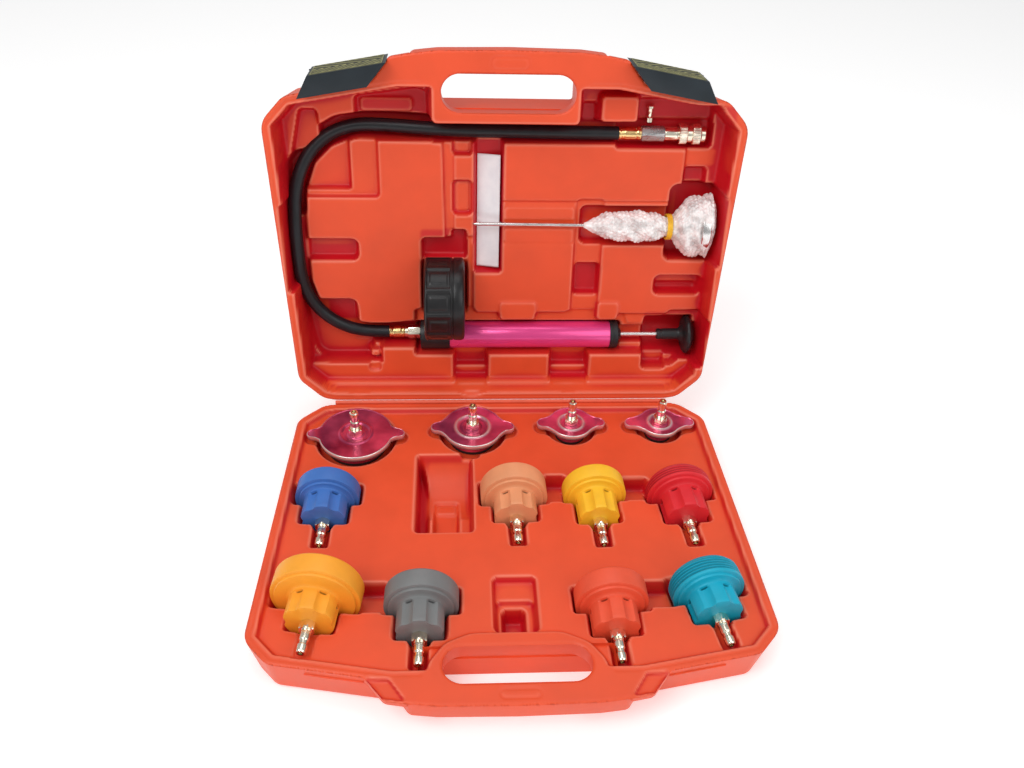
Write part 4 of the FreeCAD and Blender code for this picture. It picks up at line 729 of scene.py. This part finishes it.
# ---- Pump ----
# A magenta anodised tube is plugged by a black moulded head and an end cap; the plunger's steel rod slides
# through the cap and ends in a round push knob. Piston, seal and valve are out of sight inside.
def lathe(profile, steps=72, shape=None, soft=0):
    """A profile of (place, radius) swept round the axis: the radius times the cosine and the sine of the
    angle, where shape(place, radius, angle) may change the radius. Soft rounds the profile's corners."""
    if soft:
        profile = rounded_path(profile, soft, 4, closed=False)
    a, r = np.array(profile, float).T
    angle = np.linspace(0, 2 * np.pi, steps, endpoint=False)[None, :]
    a, r = np.repeat(a[:, None], steps, axis=1), np.repeat(r[:, None], steps, axis=1)
    if shape:
        r = shape(a, r, angle)
    points = np.stack([a, r * np.cos(angle), r * np.sin(angle)], axis=-1)
    return points.reshape(-1, 3), grid_faces(*a.shape, closed=True)


def lid_axis(v, h):
    """A lathe's axis laid along the lid at a place forward of the hinge and a depth."""
    return lambda p: in_lid(p[:, 0], v + p[:, 1], h + p[:, 2])


def piece(name, parts, place, material, body, slot, replaced=(), crease=35, marks=None):
    """One closed piece from several surfaces in millimetres, put in its place."""
    points, faces, start = [], [], 0
    for p, f in parts:
        points.append(p)
        faces.append(f + start)
        start += len(p)
    thing = moulded(name, place(np.concatenate(points)), np.concatenate(faces), material, marks)
    belongs(outward(thing, crease), body, slot, *replaced)


def cap_flutes(a, r, t):
    """Narrow grooves round the end cap: the radius is less where the cosine of 36 angles is high."""
    return r - 0.35 * (np.cos(36 * t) > 0.2) * (a > 111.5) * (a < 115) * (r > 13)


def knob_waves(a, r, t):
    """Twelve shallow waves round the knob's broad rim: a cosine of the angle."""
    return r + 0.25 * np.cos(12 * t) * (a > 183) * (a < 188) * (r > 15)


pump_axis = lid_axis(PUMP_V, PUMP_H)
magenta = finish("anodised_magenta", (0.88, 0.075, 0.32), 0.22, 0.4, tint=0.08, patch=9, grain=2600,
    bump=0.05, second=(0.72, 0.035, 0.22), specular=0.9)
black = finish("black_plastic", (0.016, 0.016, 0.018), 0.38, tint=0.25, patch=50, grain=1300, bump=0.09)
steel = finish("rod_steel", (0.96, 0.95, 0.94), 0.2, 0.9, tint=0.03, patch=60, grain=3200, bump=0.01)
piece("barrel_tube", [lathe([(-52, 12), (-52, 13.2), (-51.4, 13.5), (107.1, 13.5), (107.7, 13.2), (107.7, 12),
    (-52, 12)], 96)], pump_axis, magenta, "tester", "anodised_magenta", ["pump_barrel"])
piece("barrel_end_cap", [lathe([(101.7, 2.3), (101.7, 11.9), (107.7, 11.9), (107.7, 14), (110, 14),
    (110.4, 13.6), (111, 13.6), (111.4, 14), (115.5, 14), (115.5, 8.5), (119.5, 5), (119.5, 2.3),
    (101.7, 2.3)], 96, cap_flutes, 0.5)], pump_axis, black, "tester", "black_plastic", ["barrel_cap"])
piece("plunger_rod", [lathe([(-1, 0), (-1, 1.8), (-0.6, 2.2), (170.2, 2.2), (170.2, 0)], 32)],
      pump_axis, steel, "plunger", "rod_steel", ["piston_rod"])
piece("push_knob", [lathe([(156.2, 2.25), (156.2, 4.6), (157, 5.4), (160, 5.4), (160.6, 5), (161.6, 5),
    (162.2, 5.5), (178, 5.6), (182, 9.5), (182.6, 16), (184.6, 19.2), (187.4, 19.4), (189.3, 16.2),
    (191.6, 12.4), (192.9, 8.6), (193, 0)], 96, knob_waves, 1.6), lathe([(156.2, 2.25), (170.2, 2.25),
    (170.2, 0)], 96)], pump_axis, black, "plunger", "black_plastic", ["pump_knob"])
softened("pump_head_block", "pump_head", "tester", black, "black_plastic", 0.5)
inner_plastic = finish("piston_plastic", (0.72, 0.72, 0.7), 0.4, tint=0.08)
inner_rubber = finish("seal_rubber", (0.018, 0.018, 0.018), 0.6, tint=0.2, patch=200, bump=0.15)
dress(inner_plastic, "piston")
dress(inner_rubber, "piston_seal", "check_valve")

# ---- Gauge ----
# A round pressure gauge sits in a black rubber boot: panels between ribs go round the boot, and a plain lip
# holds the glass. The dial is printed with a plain scale.
gauge_axis = lid_axis(GAUGE_V, GAUGE_H)
boot_rubber = finish("boot_rubber", (0.01, 0.01, 0.011), 0.3, tint=0.25, patch=70, grain=1100, bump=0.12)


def boot_panels(a, r, t):
    """Ten sunk panels: the radius falls where the distance across a rib and from both bands is positive."""
    rib = (np.abs((t * 10 / (2 * np.pi)) % 1 - 0.5) - 0.075) * 24.5
    across = np.minimum(rib, np.minimum(a + 72.3, -50.5 - a))
    small = np.minimum(rib - 4.2, np.minimum(a + 69.5, -53.3 - a))
    return r - (r > 37) * (1.3 * share(across / 0.7) - 0.5 * share(small / 0.6))


outer = [(-66.9, 0), (-75, 0), (-75, 34.5), (-74.6, 37.2), (-73.2, 38.9)]
outer += [(float(a), 39) for a in np.linspace(-72.9, -49.6, 52)]
outer += [(-49.2, 38.9), (-48.8, 38), (-47.8, 38), (-47.4, 38.9), (-46.8, 39), (-40.4, 39), (-38.3, 37.6),
    (-37.4, 34.6), (-37.3, 31), (-37.6, 29), (-38.4, 28.5), (-42, 28.5), (-42, 31.8), (-66.9, 31.8),
    (-66.9, 0)]
piece("gauge_boot_ribbed", [lathe(outer, 240, boot_panels)], gauge_axis, boot_rubber, "tester", "boot_rubber",
      ["gauge_boot"], 50)
case_paint = finish("gauge_case_paint", (0.025, 0.025, 0.027), 0.3, tint=0.2, patch=80)
dial_paint = finish("dial_white", (0.86, 0.86, 0.84), 0.5, tint=0.03, patch=60, bump=0.02)
ink = finish("dial_black", (0.02, 0.02, 0.02), 0.5, tint=0.3, patch=300, bump=0.02)
glass = finish("gauge_glass", (0.85, 0.88, 0.9), 0.05, tint=0.02, bump=0)
feed(glass.node_tree, glass.node_tree.nodes["Principled BSDF"], Alpha=0.18)
dress(case_paint, "gauge_case")
dress(dial_paint, "gauge_dial")
dress(ink, "gauge_needle")
dress(glass, "gauge_lens")

UP_V, UP_H = np.array([GAUGE_V - PUMP_V, GAUGE_H - PUMP_H]) / math.hypot(GAUGE_V - PUMP_V, GAUGE_H - PUMP_H)


def on_dial(across, along):
    """Across and up the dial's face, seen from the glass side, to metres just in front of it."""
    return in_lid(-52.08, GAUGE_V + UP_V * along - UP_H * across, GAUGE_H + UP_H * along + UP_V * across)


count = np.arange(61)[:, None]
sweep = np.radians(225 - 4.5 * count)
reach = np.where(count % 10 == 0, 22.4, np.where(count % 5 == 0, 23.4, 24.4))
corners = np.array([(0, -1), (1, -1), (1, 1), (0, 1)], float)
radius = reach + (27.2 - reach) * corners[:, 0]
slide = np.where(count % 10 == 0, 0.32, 0.16) * corners[:, 1]
scale = moulded("dial_scale", on_dial(radius * np.cos(sweep) - slide * np.sin(sweep),
    radius * np.sin(sweep) + slide * np.cos(sweep)), np.arange(244).reshape(-1, 4), ink)
belongs(scale, "tester", "needle_black")
for number, turn in zip(range(0, 61, 10), np.radians(np.linspace(225, -45, 7))):
    letters = bpy.data.curves.new("figure_%d" % number, "FONT")
    letters.body, letters.size, letters.align_x, letters.align_y = str(number), 5, "CENTER", "CENTER"
    holder = add("figure_holder", letters)
    flat = bpy.data.meshes.new_from_object(holder.evaluated_get(bpy.context.evaluated_depsgraph_get()))
    bpy.data.objects.remove(holder)
    co = np.zeros(len(flat.vertices) * 3)
    flat.vertices.foreach_get("co", co)
    across, along = co.reshape(-1, 3)[:, 0], co.reshape(-1, 3)[:, 1]
    placed = on_dial(across + 18.3 * math.cos(turn), along + 18.3 * math.sin(turn))
    flat.vertices.foreach_set("co", placed.astype(np.float32).ravel())
    flat.materials.clear()
    flat.materials.append(ink)
    belongs(add("dial_figure_%02d" % number, flat), "tester", "needle_black")

# ---- Hose and its fittings ----
# A black rubber hose is crimped into a brass ferrule at each end: one with a hexagon that turns on the pump,
# the other on a quick coupler whose knurled sleeve slides back to release.
HOSE_ROUTE = [
    (-111.5, 61.5, 34), (-137.5, 61.5, 34), (-162.5, 71.9, 32.4), (-181.4, 91.2, 29.4), (-191.2, 116.5, 26),
    (-192.4, 147, 24), (-192.8, 178, 25.6), (-191.5, 208.5, 32.6), (-181, 234.8, 40.6),
    (-161.5, 254.2, 43.8), (-136, 264.4, 42), (-107, 265.2, 37.8), (-72, 263.2, 34.6),
    (-31, 261.6, 34), (13, 261.5, 34), (57, 260.8, 34), (101, 260.8, 34)]
hose_rubber = finish("hose_rubber", (0.009, 0.01, 0.013), 0.34, tint=0.22, patch=90, grain=1500, bump=0.16)
hose_curve = bpy.data.curves.new("hose_tube", "CURVE")
hose_curve.dimensions, hose_curve.use_fill_caps = "3D", True
hose_curve.bevel_depth, hose_curve.bevel_resolution, hose_curve.resolution_u = 0.006, 6, 10
spline = hose_curve.splines.new("NURBS")
spline.points.add(len(HOSE_ROUTE) - 1)
middle = in_lid(*np.array(HOSE_ROUTE).T)
spline.points.foreach_set("co", np.concatenate([middle, np.ones((len(middle), 1))], axis=1).ravel())
spline.order_u, spline.use_endpoint_u = 3, True
hose_curve.materials.append(hose_rubber)
belongs(add("hose_tube", hose_curve), "tester", "hose_rubber", "hose")

brass = finish("brass", (0.86, 0.6, 0.27), 0.17, 1, tint=0.14, patch=160, grain=2600, bump=0.08)
nickel = finish("nickel_plate", (0.88, 0.81, 0.66), 0.15, 1, tint=0.12, patch=180, grain=2800, bump=0.06)
gunmetal = finish("dark_hexagon", (0.42, 0.42, 0.42), 0.26, 0.85, tint=0.2, patch=120, grain=2000, bump=0.12)


def hexagon(flats, a0, a1):
    """Between two places a round bar is cut to six flats: half the width over the cosine of the angle
    from the nearest flat's middle."""
    def shape(a, r, t):
        six = flats / 2 / np.cos((t + np.pi / 6) % (np.pi / 3) - np.pi / 6)
        return np.where((a >= a0 - 1e-6) & (a <= a1 + 1e-6) & (r > flats * 0.49), np.minimum(r, six), r)
    return shape


def ferrule(x0, x1, flare):
    """A crimped tube: rolled ends, and three grooves pressed round it."""
    a = np.linspace(0, 1, 60)
    r = 5.95 - 0.55 * sum(np.exp(-((a - c) / 0.035) ** 2) for c in (0.14, 0.24, 0.8))
    r = r + flare * share((a - 0.72) * 20)
    r = r - 0.5 * share((0.03 - a) * 34) - 0.4 * share((a - 0.97) * 34)
    return lathe([(x0, 0)] + list(zip(x0 + (x1 - x0) * a, r)) + [(x1, 0)])


port_axis = lid_axis(61.5, 34)
piece("pump_ferrule_crimped", [ferrule(-111.5, -96.5, 0)], port_axis, brass, "tester", "brass",
    ["pump_ferrule"])
piece("swivel_hexagon", [lathe([(-96.5, 0), (-96.5, 5), (-95.9, 5.6), (-93.2, 5.6), (-92.8, 6.3),
    (-92.2, 6.93), (-81.8, 6.93), (-81.1, 6.3), (-80.5, 5.8), (-80.5, 0)], 72, hexagon(12, -93, -80.9))],
    port_axis, nickel, "tester", "nickel", ["swivel_nut"], 25)
coupler_axis = lid_axis(260.8, 34)
piece("coupler_ferrule_crimped", [ferrule(101, 121.5, 0.1)], coupler_axis, brass, "tester", "brass",
      ["coupler_ferrule"])
piece("coupler_hexagon", [lathe([(121.5, 0), (121.5, 5.6), (122.2, 6.4), (123, 7), (141.6, 7), (142.4, 6.5),
    (143, 5.9), (143, 0)], 72, hexagon(12.4, 121.4, 143.1))], coupler_axis, gunmetal, "tester", "dark_steel",
    ["coupler_body"], 25)
piece("coupler_barrel", [lathe([(143, 0), (143, 6), (143.5, 6.2), (153.8, 6.2), (154.2, 5.9), (175.3, 5.9),
    (175.5, 6.8), (176, 7.2), (179.2, 7.2), (180, 6.6), (180, 4.6), (179.5, 4.35), (154, 4.35), (154, 0)],
    72)], coupler_axis, nickel, "tester", "nickel")


def knurl(a, r, t):
    """Fine ridges along the rings, where the radius is greatest."""
    return r - 0.28 * (r > 8.9) * (0.5 + 0.5 * np.cos(40 * t))


piece("release_sleeve", [lathe([(155.5, 6.3), (155.5, 8.4), (156.1, 9.15), (162.4, 9.2), (163.1, 8.5),
    (163.5, 7.6), (167.2, 7.6), (167.7, 8.5), (168.4, 9.2), (174.7, 9.15), (175.3, 8.4), (175.3, 6.3),
    (155.5, 6.3)], 240, knurl)], coupler_axis, nickel, "sleeve", "nickel", ["coupler_sleeve"])

# ---- Thermometer in its wrap ----
# A probe thermometer with a long steel stem lies across the lid, its dial head in a bag of bubble film.
# The bag narrows along the stem to a twisted tip, and a yellow rubber band holds it behind the head.
YAW = math.radians(0.6)


def on_stem(p):
    """Along the stem from its tip, across the lid, and in depth, turned a little in the lid's plane."""
    a, s, h = p[:, 0], p[:, 1], p[:, 2]
    return in_lid(-30 + a * math.cos(YAW) + s * math.sin(YAW),
                  177.3 - a * math.sin(YAW) + s * math.cos(YAW), 25.7 + h)


stem_steel = finish("stem_steel", (0.74, 0.72, 0.71), 0.2, 1, tint=0.1, patch=150, grain=3000, bump=0.06)
piece("stem_probe", [lathe([(0, 0), (1.2, 0.7), (4.5, 1.7), (6, 1.95), (200, 1.95), (200, 0)], 32)], on_stem,
    stem_steel, "thermometer", "thermo_steel", ["thermometer_stem"])
piece("dial_head", [lathe([(200, 0), (200, 4.4), (200.6, 5), (211.4, 5), (212, 5.6), (212.3, 19.4),
    (213.1, 20.5), (220, 20.5), (221, 19.8), (221, 18.2), (220.2, 17.6), (220.2, 0)], 96, None, 0.4)],
    on_stem, stem_steel, "thermometer", "thermo_steel", ["thermometer_head"])


def film_wrinkles(a, t):
    """Folds of the bag: a few waves along and round it, with random phases, added up."""
    rng = np.random.default_rng(3)
    total = np.zeros(np.broadcast(a, t).shape)
    for _ in range(9):
        total += np.sin(a * rng.uniform(0.05, 0.6) + rng.integers(1, 8) * t + rng.uniform(0, 6.3)) / 9
    return total


BUBBLE_ROW, BUBBLE_STEP, BUBBLE_RADIUS = 3.9, 4.5, 0.42


def bubble_surface(a, r, t):
    """The bag's radius: folds that grow with the size, and a bubble at each point of a staggered lattice,
    the root of one less the squared distance from its middle."""
    wide = share((r - 4) / 8)
    r = r * (0.93 + 0.24 * film_wrinkles(a, t) * wide)
    row = np.round(a / BUBBLE_ROW)
    along = a / BUBBLE_ROW - row
    count = np.maximum(np.round(2 * np.pi * r.max(axis=1, keepdims=True) / BUBBLE_STEP), 4)
    place = t * count / (2 * np.pi) + 0.5 * (row % 2)
    round_way = place - np.round(place)
    lift = np.sqrt(share(1 - (along ** 2 + round_way ** 2) / BUBBLE_RADIUS ** 2))
    return r + (0.9 * lift - 0.5) * wide - 0.4 * (1 - wide) * np.abs(np.sin(3 * t + a * 0.3))


def even_steps(path, count, corners=False):
    """Points at even steps along a path, and its corners too where asked."""
    run = np.concatenate([[0], np.cumsum(np.hypot(*np.diff(path, axis=0).T))])
    places = np.linspace(0, run[-1], count)
    if corners:
        places = np.unique(np.concatenate([places, run]))
    return np.interp(places, run, path[:, 0]), np.interp(places, run, path[:, 1])


film = finish("bubble_film", (1, 0.99, 0.98), 0.14, tint=0, patch=170, grain=700, bump=0.4,
              second=(0.97, 0.9, 0.88), specular=0.9)
tree = film.node_tree
patches = node(tree, "TexNoise", Scale=110, Detail=4,
    Vector=tree.nodes["Texture Coordinate"].outputs["Object"])
cloudy = node(tree, "MapRange", From_Min=0.36, From_Max=0.56, To_Min=0.6, To_Max=0.98,
    Value=patches.outputs["Fac"])
feed(tree, tree.nodes["Principled BSDF"], Alpha=cloudy.outputs["Result"])
bag = np.array([(104, 2.6), (113, 7.6), (126, 13.2), (150, 14.8), (172, 13.8), (178.5, 10.9), (181.5, 10),
    (186.5, 10), (189.5, 12.5), (194, 17.5), (200, 21.4), (207, 22.3), (222.6, 22.2), (225.6, 17), (225.9, 8),
    (225.4, 0)])
points, faces = lathe(np.stack(even_steps(bag, 330), axis=1), 200, bubble_surface)
a, s, h = points.T
h = h * (1 - 0.15 * share((a - 190) / 8) * np.exp(-(s / 6.5) ** 2))
s = s * (1 + 0.4 * share((a - 187) / 14) ** 0.8)
# the corner over the red adapter is pressed in by up to a sixth
pressed = 1 - 0.16 * share((a - 186) / 8) * share(-s / 12) * share(-h / 12)
piece("bubble_bag", [(np.stack([a, s * pressed, h * pressed], axis=1), faces)], on_stem, film, "thermometer",
      "wrap_film", ["bubble_wrap"], 80)
band_rubber = finish("band_rubber", (0.86, 0.5, 0.03), 0.42, tint=0.15, patch=200, grain=1500, bump=0.15)


def band_twist(a, r, t):
    """Three turns of the band, side by side: ridges across the strip."""
    return r + 0.25 * np.cos((a - 184) * 2 * np.pi / 1.7) * (r > 11.2)


strip = [(181.5, 10.95)] + [(float(a), 11.9) for a in np.linspace(181.5, 186.5, 25)]
strip += [(186.5, 10.95), (181.5, 10.95)]
piece("band_round_bag", [lathe(strip, 96, band_twist)], on_stem, band_rubber, "thermometer", "band_rubber",
      ["rubber_band"], 60)

# ---- Leaflet ----
# A sheet of white paper, folded in three along its length and pressed flat, stands in the narrow slot
# beside the right deck. Nothing holds it but the slot, and it is left bare.
paper = finish("leaflet_paper", (0.86, 0.86, 0.87), 0.7, tint=0.03, patch=70, grain=1200, bump=0.08,
               second=(0.8, 0.8, 0.83))
tilt = math.radians(14)
folds = [(0.5, -0.12), (21.6, -0.12), (21.6, -0.62), (0.3, -0.66), (0.3, -1.12), (21.8, -1.3)]
across, depth = even_steps(rounded_path(folds, 0.24, 4, closed=False), 60, True)
across, v = np.meshgrid(across, np.linspace(130.4, 239.6, 60), indexing="ij")
depth = depth[:, None] + 0.1 * np.sin((v - 130) / 16) * (across / 22) * np.sign(depth[:, None] + 0.9)
x = -25.5 + across * math.cos(tilt) + depth * math.sin(tilt)
h = 40 - across * math.sin(tilt) + depth * math.cos(tilt)
leaflet = moulded("leaflet_folded", in_lid(x, v, h), grid_faces(*v.shape), paper)
thick = leaflet.modifiers.new("thickness", "SOLIDIFY")
thick.thickness, thick.offset = 0.00016, 0
belongs(leaflet, "leaflet", "leaflet_paper", "leaflet")

# ---- Spare valve ----
# A small valve stem, turned from brass and nickel plated, with a thread round its middle.
# It lies loose in the upper right pocket of the lid.
def on_valve(p):
    """Along the valve towards the grip, across, and in depth."""
    return in_lid(129 + p[:, 1], 270 + p[:, 0], 37.5 + p[:, 2])


def valve_thread(a, r, t):
    """Ridges round the middle of the stem: a cosine wave along it, one for each pitch."""
    return r + 0.14 * np.cos(2 * np.pi * a / 0.8) * (a > 5.4) * (a < 12) * (r > 1)


piece("spare_valve_stem", [lathe([(0, 0), (0, 2.6), (0.5, 3.1), (4.2, 3.1), (4.8, 2.5), (5.4, 1.7),
    (8.8, 1.7), (9.4, 2.2), (12.2, 2.3), (12.8, 3.6), (14.6, 3.6), (15, 3.2), (15, 0)], 48, valve_thread)],
    on_valve, nickel, "spare_valve", "brass", ["spare_valve"])

# ---- Adapters ----
# Eight screw adapters in matte coloured plastic: a wide threaded end, a stepped shoulder and a lobed neck.
# The wide end is open at the back; red and teal carry their thread outside. A grooved nipple screws in.
ADAPTER_COLOURS = {
    "blue": (0.05, 0.165, 0.5), "tan": (0.78, 0.32, 0.15), "yellow": (0.95, 0.53, 0.025),
    "red": (0.72, 0.022, 0.032), "orange": (0.92, 0.37, 0.028), "grey": (0.185, 0.19, 0.19),
    "vermilion": (0.8, 0.095, 0.04), "teal": (0.004, 0.39, 0.55)}


def lay_down(spec):
    """An adapter's own axis, from its wide end's face towards the grip, to its pocket in the base."""
    px, pv, turn, radius = spec[:4]
    a = math.radians(turn)

    def place(p):
        w, u, rise = p.T
        return in_base(px + u * math.cos(a) - w * math.sin(a), pv + u * math.sin(a) + w * math.cos(a),
                       BASE_FLOOR - 0.3 - radius - rise)
    return place


PITCH, END_WALL, FLUTE_RADIUS = 2.6, 4.5, 8


def thread_ridge(a, t):
    """A ridge whose place moves one pitch along for each turn: a power of a cosine wave."""
    return (0.5 - 0.5 * np.cos(2 * np.pi * (a / PITCH + t / (2 * np.pi)))) ** 1.6


def from_flute(t):
    """The angle from the middle of the nearest of six flutes."""
    return (t + np.pi / 6) % (np.pi / 3) - np.pi / 6


def adapter_shape(spec):
    """The neck's six flutes are arcs of a circle outside it, each with a notch at its top; an outside
    thread's ridges are added to the wide end."""
    radius, length, neck, reach, outside = spec[3:]

    def shape(a, r, t):
        if outside:
            run = share((a + length - 1.8) / 1.5) * share((-4.9 - a) / 0.8)
            r = np.where((a < -4.8) & (r > radius - 3.4), r + 1.55 * thread_ridge(a, t) * run, r)
        out = neck + FLUTE_RADIUS - 2.3
        phi = from_flute(t)
        inner = FLUTE_RADIUS ** 2 - (out * np.sin(phi)) ** 2
        flute = np.where(inner > 0, out * np.cos(phi) - np.sqrt(np.maximum(inner, 0)), 1e3)
        deep = share((a - 2.7) / 0.7)
        notch = 1.5 * (a > 2.7) * (a < 4) * (np.abs(phi) < 0.17)
        return np.where((a > 2.7) & (r > 12.5), np.minimum(r, flute * deep + r * (1 - deep)) - notch, r)
    return shape


NIPPLE = [(0, 0), (0, 6.2), (0.6, 6.93), (6.2, 6.93), (7, 6.1), (7, 4.6), (7.5, 4.2), (9.4, 4.2), (9.7, 3.9),
    (10.3, 3.9), (10.6, 4.2), (15.3, 4.2), (16.4, 3.4), (19.4, 3.4), (20.4, 4.2), (23.4, 4.2), (25.9, 3.9),
    (27, 3.2), (27, 2), (22, 2), (22, 0)]


def add_nipple(name, along, place, body, source):
    """A turned nipple with a hexagon, whose foot stands a little along the axis."""
    points, faces = lathe(NIPPLE, 72, hexagon(12, 0, 7))
    piece(name, [(points + (along, 0, 0), faces)], place, nickel, body, "nickel", [source], 25)


for colour, spec in ADAPTER_PLACES.items():
    radius, length, neck, reach, outside = spec[3:]
    big = radius - 1.6 if outside else radius
    # painted shade: a darker colour laid in the thread roots and the flute notches
    painted_root_shade = tuple(0.45 * c for c in ADAPTER_COLOURS[colour])
    matte = finish("adapter_" + colour + "_plastic", ADAPTER_COLOURS[colour], 0.46, tint=0.06, patch=55,
        grain=1000, bump=0.07, marks=(("root", painted_root_shade),))
    front = [
        (-3, radius), (-2.4, radius - 0.25), (-2.1, radius - 0.9), (-2, radius - 3.4), (-0.7, radius - 3.7),
        (-0.2, radius - 4), (0, radius - 4.8), (0, neck + 3.2), (0.3, neck + 1.4), (1, neck + 0.4), (2, neck)]
    if outside:
        front = [(a, big) for a in np.arange(-length + 1.4, -5, 0.3)] + [(-4.8, big), (-4.6, radius)] + front
    else:
        front = [(-length + 1.4, big)] + front
    side = [(a, neck) for a in (2.6, 2.72, 2.8, 3.1, 3.4, 3.9, 4.05, *np.linspace(4.6, reach - 1.1, 8))]
    bore = big - 4
    back = [(reach - 0.3, neck - 0.4), (reach, neck - 1.2), (reach, 12.4), (reach, 0), (reach - END_WALL, 0),
            (reach - END_WALL, 12), (-END_WALL, 12), (-END_WALL, bore)]
    ribs = [(-END_WALL - 0.5 * k, bore - (0.9 if k % 4 in (1, 2) and not outside else 0))
            for k in range(1, int(2 * (length - 7)))]
    body = [(-length, bore + 0.6), (-length, big - 1)] + front + side + back + ribs + [(-length, bore + 0.6)]
    place = lay_down(spec)
    points, faces = lathe(body, 144, adapter_shape(spec))
    a, r, t = points[:, 0], np.hypot(points[:, 1], points[:, 2]), np.arctan2(points[:, 2], points[:, 1])
    # where the painted shade goes: the roots of an outside thread, and the notches at the flutes' tops
    root = (a < -4.8) * (r > radius - 3.4) * (1 - thread_ridge(a, t)) * 0.8 if outside else 0 * a
    root = np.maximum(root, 0.9 * (a > 2.75) * (a < 3.95) * (np.abs(from_flute(t)) < 0.16) * (r > 12.5))
    piece("adapter_" + colour + "_body", [(points, faces)], place, matte, colour + "_adapter",
        "adapter_" + colour, ["adapter_" + colour], 30, {"root": root})
    add_nipple("nipple_" + colour + "_turned", reach, place, colour + "_adapter", "nipple_" + colour)

# ---- Radiator caps ----
# Four pressed caps with two turned-down ears, polished and tinted burgundy, their rolled rims left bright.
# The tint's dark and light patches are painted reflection; the rims grow brighter towards the front as a
# painted highlight, and the smaller caps carry a painted highlight on their raised ring.
# A nipple with a hexagon stands in the middle of each, and a rubber seal lies under the neck.
# the tint drifts between dark and light patches as painted reflection
cap_tint_with_reflection = finish("cap_metal_painted_reflection", (0.93, 0.13, 0.27), 0.17, 0.62, tint=0.08, patch=26, grain=2500,
    bump=0.03, second=(0.2, 0.004, 0.04), marks=(("rim", (0.82, 0.72, 0.7)),), specular=0.6)
ROLLED_RIM = [(-1.3, 0.45), (-0.7, 0.6), (-0.15, 0.2), (0, -0.6), (0, -3.9), (-0.5, -4.2), (-1.1, -3.9),
    (-1.3, -1.7)]
t = np.linspace(0, 2 * np.pi, 256, endpoint=False)
for name, spec in CAP_PLACES.items():
    cx, cv, radius, tip = spec[:4]
    low, high = np.zeros(256), np.full(256, tip + 4)
    for _ in range(24):
        middle = (low + high) / 2
        within = cap_field(cx + middle * np.cos(t), cv + middle * np.sin(t), spec) < 0
        low, high = np.where(within, middle, low), np.where(within, high, middle)
    s = np.linspace(0, 1, 56)[:, None]
    inner = 0.9 * radius - 1
    r = np.where(s < 0.72, s / 0.72 * inner, inner + (s - 0.72) / 0.28 * (low - 1.7 - inner))
    ridge = 0.42 if radius > 30 else 0.56
    dish = share((r - 0.2 * radius) / 2) * share(((ridge - 0.04) * radius - r) / 2)
    z = 1.5 - 0.9 * dish - 0.021 * np.clip(r - radius, 0, None) ** 1.6
    z = z + 0.25 * share((r - 0.62 * radius) / (0.3 * radius))
    for ring, wide, tall in ((ridge, 1.3, 1.1), (0.31, 0.8, 0.5), (0.19, 0.8, 0.4)):
        z = z + tall * np.exp(-((r - ring * radius) / wide) ** 2)
    under = radius - 7
    neck = [(under, -0.1), (under, -12), (under - 2, -12.1), (under - 2, -0.4), (0, -0.4)]
    r, z = (np.concatenate([face] + [rim + d for d in rolled] + [np.full((1, 256), n) for n in inside])
        for face, rim, rolled, inside in zip((r, z), (low[None, :], z[-1:]), zip(*ROLLED_RIM), zip(*neck)))
    bright_rim_and_highlight = np.zeros(r.shape)
    # the rolled rim: bare bright metal, with a painted highlight growing towards the front
    bright_rim_and_highlight[57:62] = 0.55 + 0.45 * np.sin(t)
    # the smaller caps: a painted highlight on their raised ring
    if radius < 30:
        bright_rim_and_highlight[:56] = 0.75 * np.exp(-((r[:56] - ridge * radius) / 1.4) ** 2)
    points = np.stack([z + 0 * t, r * np.cos(t), r * np.sin(t)], axis=-1).reshape(-1, 3)
    place = lambda p: in_base(cx + p[:, 1], cv + p[:, 2], -p[:, 0])
    piece(name + "_pressing", [(points, grid_faces(*r.shape, closed=True))], place, cap_tint_with_reflection, name,
          "cap_anodised", [name + "_shell"], 60, {"rim": bright_rim_and_highlight})
    add_nipple(name + "_nipple_turned", 1.4, place, name, name + "_nipple")
    dress(inner_rubber, name + "_seal")
